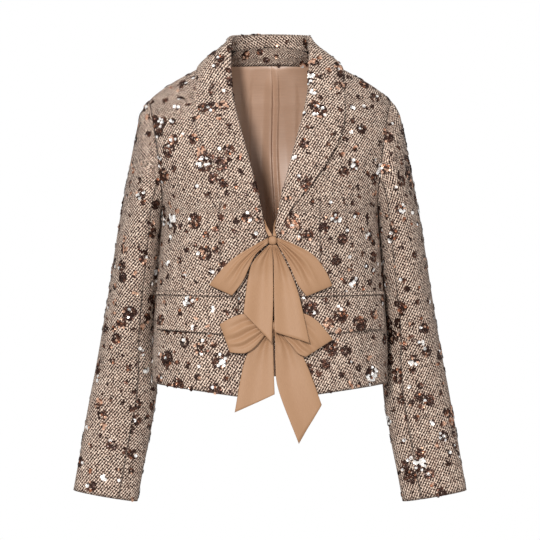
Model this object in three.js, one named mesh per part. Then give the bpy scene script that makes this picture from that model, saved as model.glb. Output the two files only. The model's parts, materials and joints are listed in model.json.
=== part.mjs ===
// A cropped tweed blazer, filled out as if worn, with its two ribbon bows tied at the centre front.
// Millimetres, +Z up. The front faces -Y, and +X is the wearer's left.
// The origin is the middle of the line between the two side-neck points, where the shoulders hold the jacket.
import * as THREE from "three";

// Driving sizes
const TWEED = 2.0; // thickness of the shell cloth
const LINING = 1.0; // thickness of the lining
const RIBBON = 0.9; // thickness of the folded satin ribbon
const SEAM = 0.3; // gap between two sewn pieces
const SIDE_NECK = 62; // half the neck's width on the shoulder line
const SHOULDER_Z = -76; // height of the shoulder point
const UNDERARM_Z = -250; // height of the bottom of the armhole
const BREAK_Z = -288; // height where the fronts meet, at the foot of the V
const HEM_Z = -511.5; // height of the hem at the side
const HEM_DIP = 25; // how far the front hem drops towards the centre
const HEM_RISE = 6; // how far the back hem rises towards the centre
const SECTION_POWER = 2.3; // squareness of the body's horizontal sections
const ARMHOLE_DEPTH = 50; // half the armhole's size from front to back
const SLEEVE_SEAM = THREE.MathUtils.degToRad(116); // where the sleeve's two seams lie, round from its outer side

const TWEED_FINISH = { color: 0x9e8a7a, roughness: 0.9, metalness: 0 };
const SATIN_FINISH = { color: 0xc8a07f, roughness: 0.45, metalness: 0 };
const LINING_FINISH = { color: 0xa4826e, roughness: 0.5, metalness: 0 };

// The body, as horizontal sections from the hem up: half width, and depth in front and behind.
const BODY = [
  { z: -545, half: 183.5, front: 116, back: 98 },
  { z: -511, half: 182.5, front: 115, back: 97 },
  { z: -450, half: 181.5, front: 111, back: 93 },
  { z: -383, half: 177, front: 108, back: 89 },
  { z: -330, half: 172.5, front: 109, back: 90 },
  { z: -290, half: 169, front: 111, back: 94 },
  { z: -250, half: 167.5, front: 113, back: 99 },
  { z: -238, half: 169.3, front: 113.5, back: 100.5 },
  { z: -224, half: 173, front: 113, back: 102 },
  { z: -206, half: 178.6, front: 111.5, back: 103.5 },
  { z: -185, half: 184.4, front: 108, back: 104.5 },
  { z: -163, half: 188.4, front: 103, back: 105 },
  { z: -140, half: 191, front: 96, back: 104 },
  { z: -120, half: 192, front: 88, back: 101 },
  { z: -101, half: 191, front: 79, back: 97.5 },
  { z: -88, half: 189.2, front: 71.5, back: 95 },
  { z: -76, half: 187, front: 64, back: 92 },
  { z: -70, half: 181.5, front: 60, back: 91 },
  { z: -63.5, half: 173.5, front: 55.5, back: 89.7 },
  { z: -51, half: 156, front: 47, back: 87 },
  { z: -38.7, half: 135, front: 38.5, back: 83.5 },
  { z: -24.8, half: 109, front: 28.5, back: 79.5 },
  { z: -12, half: 84.5, front: 17.5, back: 75.5 },
  { z: 0, half: 62, front: 5, back: 72 },
  { z: 14, half: 60, front: 4, back: 69 },
];

// The V between the fronts: half its width at each height, to the folded edge of the lapel.
const OPENING = [
  { z: -288, half: 2.6 },
  { z: -268, half: 8.6 },
  { z: -238, half: 14.2 },
  { z: -204, half: 22.4 },
  { z: -170, half: 31.2 },
  { z: -139, half: 39.4 },
  { z: -111, half: 47.2 },
  { z: -84, half: 53.4 },
  { z: -59, half: 57.6 },
  { z: -28, half: 59.6 },
  { z: 0, half: 60 },
];

// The collar and lapel in one, from the foot of the lapel up round the neck to the centre back.
// roll: where it folds. open: the way the fold opens. edge: its outer edge, on the front (face -1) or the
// back (face 1), and how far it stands off. leg: its length inside the neck. fold: half the fold's depth.
// Where rollY is null the point lies on the front.
const COLLAR = [
  { rollX: 2.6, rollY: null, rollZ: -288, openX: 1, openZ: 0, edgeX: 8.5, edgeZ: -287, face: -1, off: 3.4, leg: 6, fold: 4.3 },
  { rollX: 8.6, rollY: null, rollZ: -268, openX: 1, openZ: 0, edgeX: 21, edgeZ: -264, face: -1, off: 3.6, leg: 7, fold: 4.3 },
  { rollX: 14.2, rollY: null, rollZ: -238, openX: 1, openZ: 0, edgeX: 39, edgeZ: -236, face: -1, off: 4.2, leg: 8, fold: 4.3 },
  { rollX: 22.4, rollY: null, rollZ: -204, openX: 1, openZ: 0, edgeX: 64, edgeZ: -206, face: -1, off: 4.9, leg: 9, fold: 4.3 },
  { rollX: 31.2, rollY: null, rollZ: -170, openX: 1, openZ: 0, edgeX: 87, edgeZ: -172, face: -1, off: 5.9, leg: 10, fold: 4.3 },
  { rollX: 39.4, rollY: null, rollZ: -139, openX: 1, openZ: 0, edgeX: 102, edgeZ: -142, face: -1, off: 6.4, leg: 10, fold: 4.6 },
  { rollX: 47.2, rollY: null, rollZ: -111, openX: 1, openZ: 0, edgeX: 110, edgeZ: -118, face: -1, off: 6.4, leg: 11, fold: 4.8 },
  { rollX: 53.4, rollY: null, rollZ: -84, openX: 1, openZ: 0, edgeX: 112, edgeZ: -95, face: -1, off: 5.9, leg: 12, fold: 5 },
  { rollX: 57.6, rollY: null, rollZ: -59, openX: 1, openZ: -0.15, edgeX: 112, edgeZ: -72, face: -1, off: 5.4, leg: 13, fold: 5 },
  { rollX: 59.6, rollY: -30, rollZ: -24, openX: 1, openZ: -0.5, edgeX: 112, edgeZ: -50, face: -1, off: 4.9, leg: 14, fold: 5 },
  { rollX: 60.3, rollY: -13, rollZ: 6, openX: 0.75, openZ: -1, edgeX: 112, edgeZ: -33, face: -1, off: 4.9, leg: 16, fold: 4.6 },
  { rollX: 60.6, rollY: 6, rollZ: 22, openX: 0.35, openZ: -1, edgeX: 108, edgeZ: -24, face: 1, off: 4.9, leg: 20, fold: 4.3 },
  { rollX: 58.5, rollY: 27, rollZ: 27.5, openX: 0.2, openZ: -1, edgeX: 99, edgeZ: -22, face: 1, off: 5.4, leg: 24, fold: 4.3 },
  { rollX: 49, rollY: 47, rollZ: 30, openX: 0.14, openZ: -1, edgeX: 80, edgeZ: -20, face: 1, off: 5.9, leg: 24, fold: 4.3 },
  { rollX: 28, rollY: 63.5, rollZ: 32, openX: 0.07, openZ: -1, edgeX: 44, edgeZ: -19, face: 1, off: 6.4, leg: 21, fold: 4.3 },
  { rollX: 0.2, rollY: 68.5, rollZ: 33, openX: 0, openZ: -1, edgeX: 0.2, edgeZ: -18, face: 1, off: 6.4, leg: 20.3, fold: 4.3 },
];

// Each sleeve from the shoulder seam to the cuff: its outer and inner points, its middle, and half its depth.
// round: 0 keeps the armhole's shape, 1 is a plain oval.
const SLEEVE = [
  { outX: 194.5, outZ: -83.5, inX: 168.6, inZ: -252.5, midY: 2, depth: 53, round: 0.15 },
  { outX: 201, outZ: -97, inX: 168.6, inZ: -256, midY: 5, depth: 58, round: 0.4 },
  { outX: 206, outZ: -116, inX: 168.3, inZ: -261, midY: 9, depth: 63, round: 0.7 },
  { outX: 212, outZ: -145, inX: 168.0, inZ: -267, midY: 14, depth: 66.5, round: 1 },
  { outX: 220, outZ: -185, inX: 167.7, inZ: -276, midY: 19, depth: 68, round: 1 },
  { outX: 228.5, outZ: -229, inX: 168.3, inZ: -291, midY: 23, depth: 66, round: 1 },
  { outX: 237, outZ: -276, inX: 169.4, inZ: -314, midY: 27, depth: 63, round: 1 },
  { outX: 246, outZ: -335, inX: 172.6, inZ: -351, midY: 28, depth: 60, round: 1 },
  { outX: 254.5, outZ: -388, inX: 175.6, inZ: -392, midY: 34, depth: 56, round: 1 },
  { outX: 263.5, outZ: -440, inX: 178.5, inZ: -437, midY: 40, depth: 51.5, round: 1 },
  { outX: 271, outZ: -482, inX: 175.5, inZ: -481, midY: 44, depth: 47.5, round: 1 },
  { outX: 279.5, outZ: -527, inX: 178, inZ: -539, midY: 44, depth: 43, round: 1 },
  { outX: 288.5, outZ: -575, inX: 187.5, inZ: -591, midY: 38, depth: 38, round: 1 },
  { outX: 297.5, outZ: -630, inX: 197.5, inZ: -647, midY: 29, depth: 33, round: 1 },
  { outX: 306, outZ: -680, inX: 206, inZ: -697.5, midY: 19, depth: 30, round: 1 },
];

// Smooth values between the rows of a table, by one of its columns.
function between(table, column, at, key = "z") {
  const last = table.length - 1;
  let i = 0;
  while (i < last - 1 && at > table[i + 1][key]) i++;
  const a = table[i];
  const b = table[i + 1];
  const span = b[key] - a[key];
  const u = THREE.MathUtils.clamp((at - a[key]) / span, 0, 1);
  const slope = (k) => {
    const p = table[Math.max(k - 1, 0)];
    const q = table[Math.min(k + 1, last)];
    return ((q[column] - p[column]) / (q[key] - p[key])) * span;
  };
  const u2 = u * u;
  const u3 = u2 * u;
  return (
    (2 * u3 - 3 * u2 + 1) * a[column] +
    (u3 - 2 * u2 + u) * slope(i) +
    (3 * u2 - 2 * u3) * b[column] +
    (u3 - u2) * slope(i + 1)
  );
}

// The same for a table whose rows are numbered 0, 1, 2 and so on.
const numbered = (table) => table.map((row, index) => ({ ...row, index }));
const along = (table, column, at) => between(table, column, at, "index");

const smooth = (t) => THREE.MathUtils.smoothstep(t, 0, 1);
const lerp = THREE.MathUtils.lerp;
const vec = (x, y, z) => new THREE.Vector3(x, y, z);

// A point of the body. turn goes from 0 at the right side seam to a quarter circle at the centre of the
// front or back, and on to a half circle at the left side seam. face is -1 in front and 1 behind.
function bodyPoint(turn, z, face) {
  const half = between(BODY, "half", z);
  const depth = between(BODY, face < 0 ? "front" : "back", z);
  const c = half * Math.cos(turn);
  const s = depth * Math.sin(turn);
  const angle = Math.atan2(s, c);
  const reach =
    (Math.abs(Math.cos(angle) / half) ** SECTION_POWER +
      Math.abs(Math.sin(angle) / depth) ** SECTION_POWER) **
    (-1 / SECTION_POWER);
  const x = -reach * Math.cos(angle);
  return vec(x, face * reach * Math.sin(angle), z - hemDip(x, z, face));
}

// How far the lower rows sink towards the centre front, and rise towards the centre back.
function hemDip(x, z, face) {
  const share = 1 - Math.abs(x) / between(BODY, "half", z);
  return (face < 0 ? HEM_DIP : -HEM_RISE) * Math.max(share, 0) * smooth((-330 - z) / 200);
}

// The body's point that the front or back view shows at x and z, moved out by lift.
function facePoint(x, z, lift, face = -1) {
  let row = z;
  for (let i = 0; i < 6; i++) row = z + hemDip(x, row, face);
  const turn = turnAtX(row, face, Math.abs(x));
  return liftedPoint(x > 0 ? Math.PI - turn : turn, row, face, lift);
}

// The outward direction of the body's cloth at a point.
function bodyNormal(turn, z, face) {
  const step = 0.004;
  const across = bodyPoint(turn + step, z, face).sub(bodyPoint(turn - step, z, face));
  const up = bodyPoint(turn, z + 0.5, face).sub(bodyPoint(turn, z - 0.5, face));
  return across.cross(up).multiplyScalar(-face).normalize();
}

// A point that lies out of the body's outer face by lift, or inside it where lift is negative.
function liftedPoint(turn, z, face, lift) {
  return bodyPoint(turn, z, face).addScaledVector(bodyNormal(turn, z, face), lift);
}

// The turn at which the body has a given x, or a given distance from the y = 0 plane.
function turnWhere(z, face, test) {
  let low = 0;
  let high = Math.PI / 2;
  for (let i = 0; i < 40; i++) {
    const mid = (low + high) / 2;
    if (test(bodyPoint(mid, z, face))) low = mid;
    else high = mid;
  }
  return (low + high) / 2;
}
const turnAtX = (z, face, x) => turnWhere(z, face, (p) => -p.x > x);
const turnAtY = (z, face, y) => turnWhere(z, face, (p) => Math.abs(p.y) < y);

// The armhole is an egg in the side view, laid on the body: at angle 0 it is at the shoulder point, at a
// half circle under the arm.
function armhole(angle) {
  const middle = (SHOULDER_Z + UNDERARM_Z) / 2;
  const rise = (SHOULDER_Z - UNDERARM_Z) / 2;
  const z = middle + rise * Math.cos(angle);
  const reach = ARMHOLE_DEPTH * Math.abs(Math.sin(angle)) * (1 - 0.18 * Math.cos(angle));
  return { z, reach };
}

// A closed wall of cloth between two grids of points, row by row.
function wall(name, finish, outer, inner) {
  const rows = outer.length;
  const columns = outer[0].length;
  const points = [...outer.flat(), ...inner.flat()];
  const at = (side, r, c) => side * rows * columns + r * columns + c;
  const faces = [];
  const quad = (a, b, c, d) => faces.push(a, b, c, a, c, d);
  for (let r = 0; r < rows - 1; r++)
    for (let c = 0; c < columns - 1; c++) {
      quad(at(0, r, c), at(0, r, c + 1), at(0, r + 1, c + 1), at(0, r + 1, c));
      quad(at(1, r, c), at(1, r + 1, c), at(1, r + 1, c + 1), at(1, r, c + 1));
    }
  for (let c = 0; c < columns - 1; c++) {
    quad(at(1, 0, c), at(1, 0, c + 1), at(0, 0, c + 1), at(0, 0, c));
    quad(at(0, rows - 1, c), at(0, rows - 1, c + 1), at(1, rows - 1, c + 1), at(1, rows - 1, c));
  }
  for (let r = 0; r < rows - 1; r++) {
    quad(at(0, r, 0), at(0, r + 1, 0), at(1, r + 1, 0), at(1, r, 0));
    quad(at(1, r, columns - 1), at(1, r + 1, columns - 1), at(0, r + 1, columns - 1), at(0, r, columns - 1));
  }
  let volume = 0;
  for (let i = 0; i < faces.length; i += 3) {
    const [a, b, c] = [points[faces[i]], points[faces[i + 1]], points[faces[i + 2]]];
    volume += a.dot(b.clone().cross(c));
  }
  if (volume < 0) faces.reverse();
  const geometry = new THREE.BufferGeometry().setFromPoints(points);
  geometry.setIndex(faces);
  geometry.computeVertexNormals();
  const mesh = new THREE.Mesh(geometry, new THREE.MeshStandardMaterial(finish));
  mesh.name = name;
  return mesh;
}

const mirrored = (points) => points.map((row) => row.map((p) => vec(-p.x, p.y, p.z)));

// The heights of a panel's rows. Those beside the armhole come from the armhole's own angles.
const ARM_STEPS = 12;
const HEM_ROWS = [0, 0.12, 0.26, 0.4, 0.52, 0.63, 0.73, 0.82, 0.91];
const SHOULDER_ROWS = [-70, -63.5, -51, -38.7, -24.8, -12, -6];
const COLLAR_CLOTH = 2.5; // thickness of the collar's two layers of tweed
const lowRows = HEM_ROWS.map((part) => lerp(HEM_Z, UNDERARM_Z, part));
const armRows = Array.from({ length: ARM_STEPS + 1 }, (_, k) => armhole(Math.PI * (1 - k / ARM_STEPS)));

// Where a row of a panel ends at the side: at the side seam, at the armhole, or on the shoulder seam.
function sideTurn(z, face) {
  const seam = turnAtY(z, face, SEAM / 2);
  if (z <= UNDERARM_Z || z >= SHOULDER_Z) return seam;
  const middle = (SHOULDER_Z + UNDERARM_Z) / 2;
  const rise = (SHOULDER_Z - UNDERARM_Z) / 2;
  const angle = Math.acos(THREE.MathUtils.clamp((z - middle) / rise, -1, 1));
  return Math.max(seam, turnAtY(z, face, armhole(angle).reach));
}

// How far a front's edge lies from the centre: on the lapel's fold, or along the front where the fronts meet.
const FRONT_GAP = 1.6;
const FRONT_CUTAWAY = 22;
const FOLD_SETBACK = 4.6;
const NECK_SETBACK = 14; // more room beside the neck, where the collar's fold turns round to stand up
function frontEdge(z) {
  const cutaway = FRONT_CUTAWAY * smooth((-395 - z) / 150);
  const straight = FRONT_GAP + cutaway;
  if (z < BREAK_Z) return straight;
  return Math.max(straight, between(OPENING, "half", z) + FOLD_SETBACK + NECK_SETBACK * smooth((z + 78) / 48));
}

// One front, made on the wearer's right and mirrored for the left.
function frontPanel(name, mirror) {
  const columns = 13;
  const topRows = SHOULDER_ROWS.filter((z) => z < -8);
  const heights = [...lowRows, BREAK_Z, ...armRows.map((a) => a.z), ...topRows].sort((a, b) => a - b);
  const build = (lift) =>
    heights.map((z) => {
      const start = turnAtX(z, -1, frontEdge(z));
      const end = sideTurn(z, -1);
      return Array.from({ length: columns + 1 }, (_, c) => liftedPoint(lerp(start, end, c / columns), z, -1, lift));
    });
  const outer = build(0);
  const inner = build(-TWEED);
  return mirror ? wall(name, TWEED_FINISH, mirrored(outer), mirrored(inner)) : wall(name, TWEED_FINISH, outer, inner);
}

// The back's rows run from one side to the other. Above the side-neck points they end at the neckline.
const BACK_NECK_Z = 12;
const BACK_COLUMNS = 16;
const NECK_ROWS = [-2, 4, 8.5, BACK_NECK_Z];
const backNeckHalf = (z) => SIDE_NECK * Math.sqrt(Math.max(1 - z / (BACK_NECK_Z + 1.2), 0));
function backTurn(z) {
  if (z < -3) return sideTurn(z, 1);
  return Math.max(sideTurn(z, 1), turnAtX(z, 1, Math.min(backNeckHalf(z), SIDE_NECK - 1)));
}
const FACING_Z = -16; // where the facing inside the back neck meets the lining
const LINING_HEM_Z = -498;
const insideRows = [LINING_HEM_Z, FACING_Z - SEAM, FACING_Z];
const backHeights = [...lowRows, ...armRows.map((a) => a.z), ...SHOULDER_ROWS, ...NECK_ROWS, ...insideRows];
backHeights.sort((a, b) => a - b);
function backGrid(heights, lift) {
  return heights.map((z) => {
    const start = backTurn(z);
    return Array.from({ length: BACK_COLUMNS + 1 }, (_, c) => {
      const turn = lerp(start, Math.PI - start, c / BACK_COLUMNS);
      return liftedPoint(turn, z, 1, typeof lift === "function" ? lift(turn, z) : lift);
    });
  });
}

function backPanel() {
  return wall("back", TWEED_FINISH, backGrid(backHeights, 0), backGrid(backHeights, -TWEED));
}

// Inside the back: the lining below, with its soft centre pleat, and the tweed facing round the neck.
function pleat(turn, z) {
  const x = -bodyPoint(turn, z, 1).x;
  const fade = smooth((FACING_Z - 4 - z) / 60) * smooth((z + 500) / 240);
  const fold = Math.exp(-(((x + 9) / 6) ** 2)) * 4.5 + Math.exp(-(((x - 22) / 11) ** 2)) * 2.5;
  return fold * fade;
}
function backLining() {
  const rows = backHeights.filter((z) => z >= LINING_HEM_Z && z < FACING_Z);
  const clear = TWEED + SEAM;
  const outer = backGrid(rows, (turn, z) => -clear - pleat(turn, z));
  const inner = backGrid(rows, (turn, z) => -clear - LINING - pleat(turn, z));
  return wall("back_lining", LINING_FINISH, outer, inner);
}
function neckFacing() {
  const rows = backHeights.filter((z) => z >= FACING_Z);
  const clear = TWEED + SEAM;
  return wall("back_neck_facing", TWEED_FINISH, backGrid(rows, -clear), backGrid(rows, -clear - 1.8));
}

// The sleeve's surface: angle goes round from its outer side by the front, and station runs down the table.
const sleeveRows = numbered(SLEEVE);
const SLEEVE_GAP = 0.5;
function armholePoint(angle) {
  const front = Math.sin(angle) >= 0;
  const face = front ? -1 : 1;
  const { z, reach } = armhole(angle);
  const turn = turnAtY(z, face, reach);
  const p = bodyPoint(turn, z, face);
  return vec(-p.x + SLEEVE_GAP, p.y, p.z);
}
function sleeveRing(angle, at) {
  const value = (column) => along(sleeveRows, column, at);
  const out = vec(value("outX"), 0, value("outZ"));
  const inside = vec(value("inX"), 0, value("inZ"));
  const middle = out.clone().add(inside).multiplyScalar(0.5);
  const arm = out.clone().sub(inside).multiplyScalar(0.5);
  const oval = middle.addScaledVector(arm, Math.cos(angle));
  oval.y = value("midY") - value("depth") * Math.sin(angle);
  const round = THREE.MathUtils.clamp(value("round"), 0, 1);
  if (round >= 1) return oval;
  const egg = armholePoint(angle);
  const share = (Math.cos(angle) + 1) / 2;
  const foot = armholePoint(Math.PI);
  const head = armholePoint(0);
  egg.x += lerp(inside.x - foot.x, out.x - head.x, share);
  egg.z += lerp(inside.z - foot.z, out.z - head.z, share);
  egg.y = egg.y * (value("depth") / ARMHOLE_DEPTH) + value("midY");
  return egg.lerp(oval, round);
}
function sleevePoint(angle, station) {
  if (station >= 1) return sleeveRing(angle, station - 1);
  return armholePoint(angle).lerp(sleeveRing(angle, 0), station);
}

const SLEEVE_STATIONS = [0, 0.5, 1, 1.5, 2, 2.5, 3, 4, 5, 6, 7, 8, 9, 10, 11, 12, 13, 14, 15];
function sleevePiece(name, from, to, columns, mirror) {
  const outer = [];
  const inner = [];
  for (const station of SLEEVE_STATIONS) {
    const front = [];
    const behind = [];
    for (let c = 0; c <= columns; c++) {
      const angle = lerp(from, to, c / columns);
      const p = sleevePoint(angle, station);
      const round = sleevePoint(angle + 0.01, station).sub(sleevePoint(angle - 0.01, station));
      const low = Math.max(station - 0.04, 0);
      const high = Math.min(station + 0.04, SLEEVE_STATIONS.at(-1));
      const down = sleevePoint(angle, high).sub(sleevePoint(angle, low));
      const normal = round.cross(down).normalize();
      front.push(p);
      behind.push(p.clone().addScaledVector(normal, -TWEED));
    }
    outer.push(front);
    inner.push(behind);
  }
  return mirror ? wall(name, TWEED_FINISH, mirrored(outer), mirrored(inner)) : wall(name, TWEED_FINISH, outer, inner);
}

// Points of one section of the collar, from its end inside the neck over the fold to its outer edge.
const LEG_POINTS = 2;
const FOLD_POINTS = 4;
const FALL_POINTS = 6;
const rollPoint = (row) =>
  row.rollY === null ? facePoint(row.rollX, row.rollZ, -1) : vec(row.rollX, row.rollY, row.rollZ);

function lapelSection(row) {
  const reach = Math.hypot(row.edgeX - row.rollX, row.edgeZ - row.rollZ);
  const place = (along, lift) => {
    const share = along / reach;
    return facePoint(lerp(row.rollX, row.edgeX, share), lerp(row.rollZ, row.edgeZ, share), lift);
  };
  const points = [];
  for (let i = 0; i < LEG_POINTS; i++)
    points.push(place(lerp(row.leg, row.fold, i / LEG_POINTS), -1 - row.fold));
  for (let i = 0; i <= FOLD_POINTS; i++) {
    const bend = Math.PI * (i / FOLD_POINTS);
    points.push(place(row.fold * (1 - Math.sin(bend)), -1 - row.fold * Math.cos(bend)));
  }
  for (let i = 1; i <= FALL_POINTS; i++) {
    const t = i / FALL_POINTS;
    points.push(place(lerp(row.fold, reach, t), lerp(row.fold - 1, row.off, t)));
  }
  return points;
}

function standSection(row, before, after) {
  const roll = rollPoint(row);
  const tangent = rollPoint(after).sub(rollPoint(before)).normalize();
  const open = vec(row.openX, 0, row.openZ).normalize();
  const out = open.clone().cross(tangent).normalize();
  open.copy(tangent).cross(out).normalize();
  const place = (along, lift) => roll.clone().addScaledVector(open, along).addScaledVector(out, lift);
  const points = [];
  for (let i = 0; i < LEG_POINTS; i++)
    points.push(place(lerp(row.leg, row.fold, i / LEG_POINTS), -row.fold));
  for (let i = 0; i <= FOLD_POINTS; i++) {
    const bend = Math.PI * (i / FOLD_POINTS);
    points.push(place(row.fold * (1 - Math.sin(bend)), -row.fold * Math.cos(bend)));
  }
  const start = place(row.fold, row.fold);
  const end = facePoint(row.edgeX, row.edgeZ, row.off, row.face);
  const length = start.distanceTo(end);
  const curve = new THREE.CubicBezierCurve3(
    start,
    start.clone().addScaledVector(open, length * 0.3).addScaledVector(out, length * 0.06),
    end.clone().add(vec(-end.x * 0.1, -end.y * 0.05, length * 0.25)),
    end,
  );
  for (let i = 1; i <= FALL_POINTS; i++) points.push(curve.getPoint(i / FALL_POINTS));
  return points;
}

function collarHalf(name, mirror) {
  const last = COLLAR.length - 1;
  const sections = COLLAR.map((row, k) => {
    if (row.rollY === null) return lapelSection(row);
    const before = COLLAR[k - 1];
    const mirroredBefore = { ...before, rollX: -before.rollX };
    return standSection(row, before, k < last ? COLLAR[k + 1] : mirroredBefore);
  });
  return cloth(name, TWEED_FINISH, sections, COLLAR_CLOTH, 1, mirror, true);
}

// A wall from one grid of points. Its thickness goes to one side, along the grid's own directions.
// Where its last row is a seam at the centre, both faces end in the centre's plane.
function cloth(name, finish, grid, thickness, side, mirror, centre = false) {
  const rows = grid.length;
  const columns = grid[0].length;
  const backs = grid.map((row, r) =>
    row.map((p, c) => {
      const along = grid[Math.min(r + 1, rows - 1)][c].clone().sub(grid[Math.max(r - 1, 0)][c]);
      const across = row[Math.min(c + 1, columns - 1)].clone().sub(row[Math.max(c - 1, 0)]);
      return p.clone().addScaledVector(along.cross(across).normalize(), side * thickness);
    }),
  );
  if (centre) for (const p of backs.at(-1)) p.x = grid.at(-1)[0].x;
  return mirror ? wall(name, finish, mirrored(grid), mirrored(backs)) : wall(name, finish, grid, backs);
}

// A pocket on the front: its flap, and the narrow welt along the flap's top. Both follow the front's rows.
const POCKET_INNER_X = 48;
const POCKET_OUTER_X = 172;
const FLAP_TOP_Z = -376;
const FLAP_BOTTOM_Z = -428;
function onFront(name, xs, zs, lift, thickness, mirror) {
  const grid = zs.map((z, r) => xs(r).map((x) => liftedPoint(turnAtX(z, -1, x), z, -1, lift(r, zs.length - 1))));
  return cloth(name, TWEED_FINISH, grid, thickness, 1, mirror);
}
function spread(from, to, parts) {
  return Array.from({ length: parts + 1 }, (_, i) => {
    const t = i / parts;
    return lerp(from, to, 0.35 * t + 0.65 * Math.sin((t * Math.PI) / 2));
  });
}
function pocketFlap(name, mirror) {
  const zs = [FLAP_TOP_Z, -390, -406, -419, -424.5, FLAP_BOTTOM_Z];
  const corner = [0, 0, 0, 0.6, 2.6, 8];
  const xs = (r) => spread(POCKET_INNER_X + corner[r], POCKET_OUTER_X - corner[r] * 0.4, 11);
  return onFront(name, xs, zs, (r, n) => 2.6 + 1.9 * (r / n) ** 1.5, 1.9, mirror);
}
function pocketWelt(name, mirror) {
  const xs = () => spread(POCKET_INNER_X - 2, POCKET_OUTER_X + 0.6, 11);
  return onFront(name, xs, [-370, FLAP_TOP_Z + SEAM], () => 1.9, 1.3, mirror);
}

// The ribbons of the two bows, in the front view. Each row of a loop or tail runs across the ribbon.
// a: its upper or right-hand edge. b: its other edge. lift: how far it stands off the front.
const BOWS = {
  upper: {
    knot: { x: 3.9, z: -293, lift: 10, wide: 7.2, high: 7.2, deep: 6.4 },
    loops: {
      right: [
        { ax: -3.1, az: -289, bx: -3.1, bz: -297 },
        { ax: -22.5, az: -299.5, bx: -20.9, bz: -314 },
        { ax: -51.9, az: -318.5, bx: -31, bz: -334 },
        { ax: -73.6, az: -341, bx: -41, bz: -356 },
        { ax: -89, az: -361, bx: -56, bz: -376.7 },
      ],
      left: [
        { ax: 10.9, az: -289, bx: 10.9, bz: -297 },
        { ax: 37, az: -299.5, bx: 24, bz: -320 },
        { ax: 62.8, az: -315, bx: 33.3, bz: -341 },
        { ax: 81, az: -340, bx: 42, bz: -361 },
        { ax: 91, az: -362, bx: 54, bz: -378 },
      ],
    },
    tails: {
      right: [
        { ax: -1.6, az: -299.6, bx: 3.6, bz: -300.1, lift: 10.4 },
        { ax: -25, az: -325, bx: 3.2, bz: -322, lift: 7.5 },
        { ax: -32, az: -348, bx: 3.6, bz: -348, lift: 7 },
        { ax: -35, az: -371, bx: 3.9, bz: -384, lift: 13 },
        { ax: -38, az: -403, bx: 2.6, bz: -449, lift: 20.5 },
      ],
      left: [
        { ax: 4.2, az: -300.1, bx: 9.4, bz: -299.6, lift: 10.4 },
        { ax: 6.2, az: -322, bx: 24, bz: -328, lift: 7.5 },
        { ax: 6.8, az: -348, bx: 35, bz: -352, lift: 7 },
        { ax: 7, az: -384, bx: 44, bz: -384, lift: 15 },
        { ax: 7, az: -432, bx: 57, bz: -449, lift: 20.5 },
      ],
    },
    ties: {
      right: [
        { ax: -9, az: -262, bx: -7.7, bz: -269.5, lift: -0.6 },
        { ax: -5, az: -271, bx: -6.6, bz: -277, lift: 5.6 },
        { ax: 3.4, az: -285.4, bx: -2, bz: -286.4, lift: 10.4 },
      ],
      left: [
        { ax: 9, az: -262, bx: 7.7, bz: -269.5, lift: -0.6 },
        { ax: 6.2, az: -271, bx: 7.4, bz: -277, lift: 5.6 },
        { ax: 4.4, az: -285.4, bx: 9.8, bz: -286.4, lift: 10.4 },
      ],
    },
  },
  lower: {
    knot: { x: 7, z: -423, lift: 10, wide: 7, high: 7, deep: 6.2 },
    loops: {
      right: [
        { ax: 0.2, az: -419, bx: 0.2, bz: -427 },
        { ax: -17.8, az: -408.5, bx: -11.6, bz: -442 },
        { ax: -38, az: -404.6, bx: -24, bz: -456 },
        { ax: -58, az: -411.5, bx: -38, bz: -464 },
        { ax: -74, az: -421, bx: -59, bz: -463 },
      ],
      left: [
        { ax: 13.8, az: -419, bx: 13.8, bz: -427 },
        { ax: 32, az: -405.5, bx: 24, bz: -443 },
        { ax: 50.4, az: -404.6, bx: 34, bz: -455 },
        { ax: 70, az: -417, bx: 42, bz: -465 },
        { ax: 92, az: -444, bx: 53, bz: -470 },
      ],
    },
    tails: {
      right: [
        { ax: 1.6, az: -429.4, bx: 6.7, bz: -429.9, lift: 9.4 },
        { ax: -24, az: -450, bx: 4.6, bz: -447, lift: 3.7 },
        { ax: -37, az: -474, bx: 5, bz: -474, lift: 4.6 },
        { ax: -44, az: -505, bx: 5.8, bz: -498, lift: 6.5 },
        { ax: -52, az: -553, bx: 7, bz: -526, lift: 8.5 },
      ],
      left: [
        { ax: 7.3, az: -429.9, bx: 12.4, bz: -429.4, lift: 9.4 },
        { ax: 8, az: -452, bx: 40, bz: -453, lift: 3.7 },
        { ax: 8.4, az: -480, bx: 54, bz: -480, lift: 5 },
        { ax: 13, az: -520, bx: 64, bz: -506, lift: 7.5 },
        { ax: 42.6, az: -600, bx: 76, bz: -542, lift: 9.5 },
      ],
    },
    ties: {
      right: [
        { ax: -5, az: -403, bx: -5, bz: -411, lift: 1.35 },
        { ax: -1, az: -408, bx: -2, bz: -414, lift: 4 },
        { ax: 6.5, az: -415.5, bx: 1.6, bz: -416.4, lift: 10.4 },
      ],
      left: [
        { ax: 5, az: -401, bx: 7, bz: -409, lift: 1.35 },
        { ax: 8, az: -407, bx: 12, bz: -411, lift: 4 },
        { ax: 7.5, az: -415.5, bx: 12.4, bz: -416.4, lift: 10.4 },
      ],
    },
  },
};
const LOOP_REST = 10.5; // how far a loop's middle stands off the front
const LOOP_KNOT_DEPTH = 1.6; // half a loop's depth where the knot grips it
const LOOP_DEPTH = 6; // how much more it opens in the middle

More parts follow.
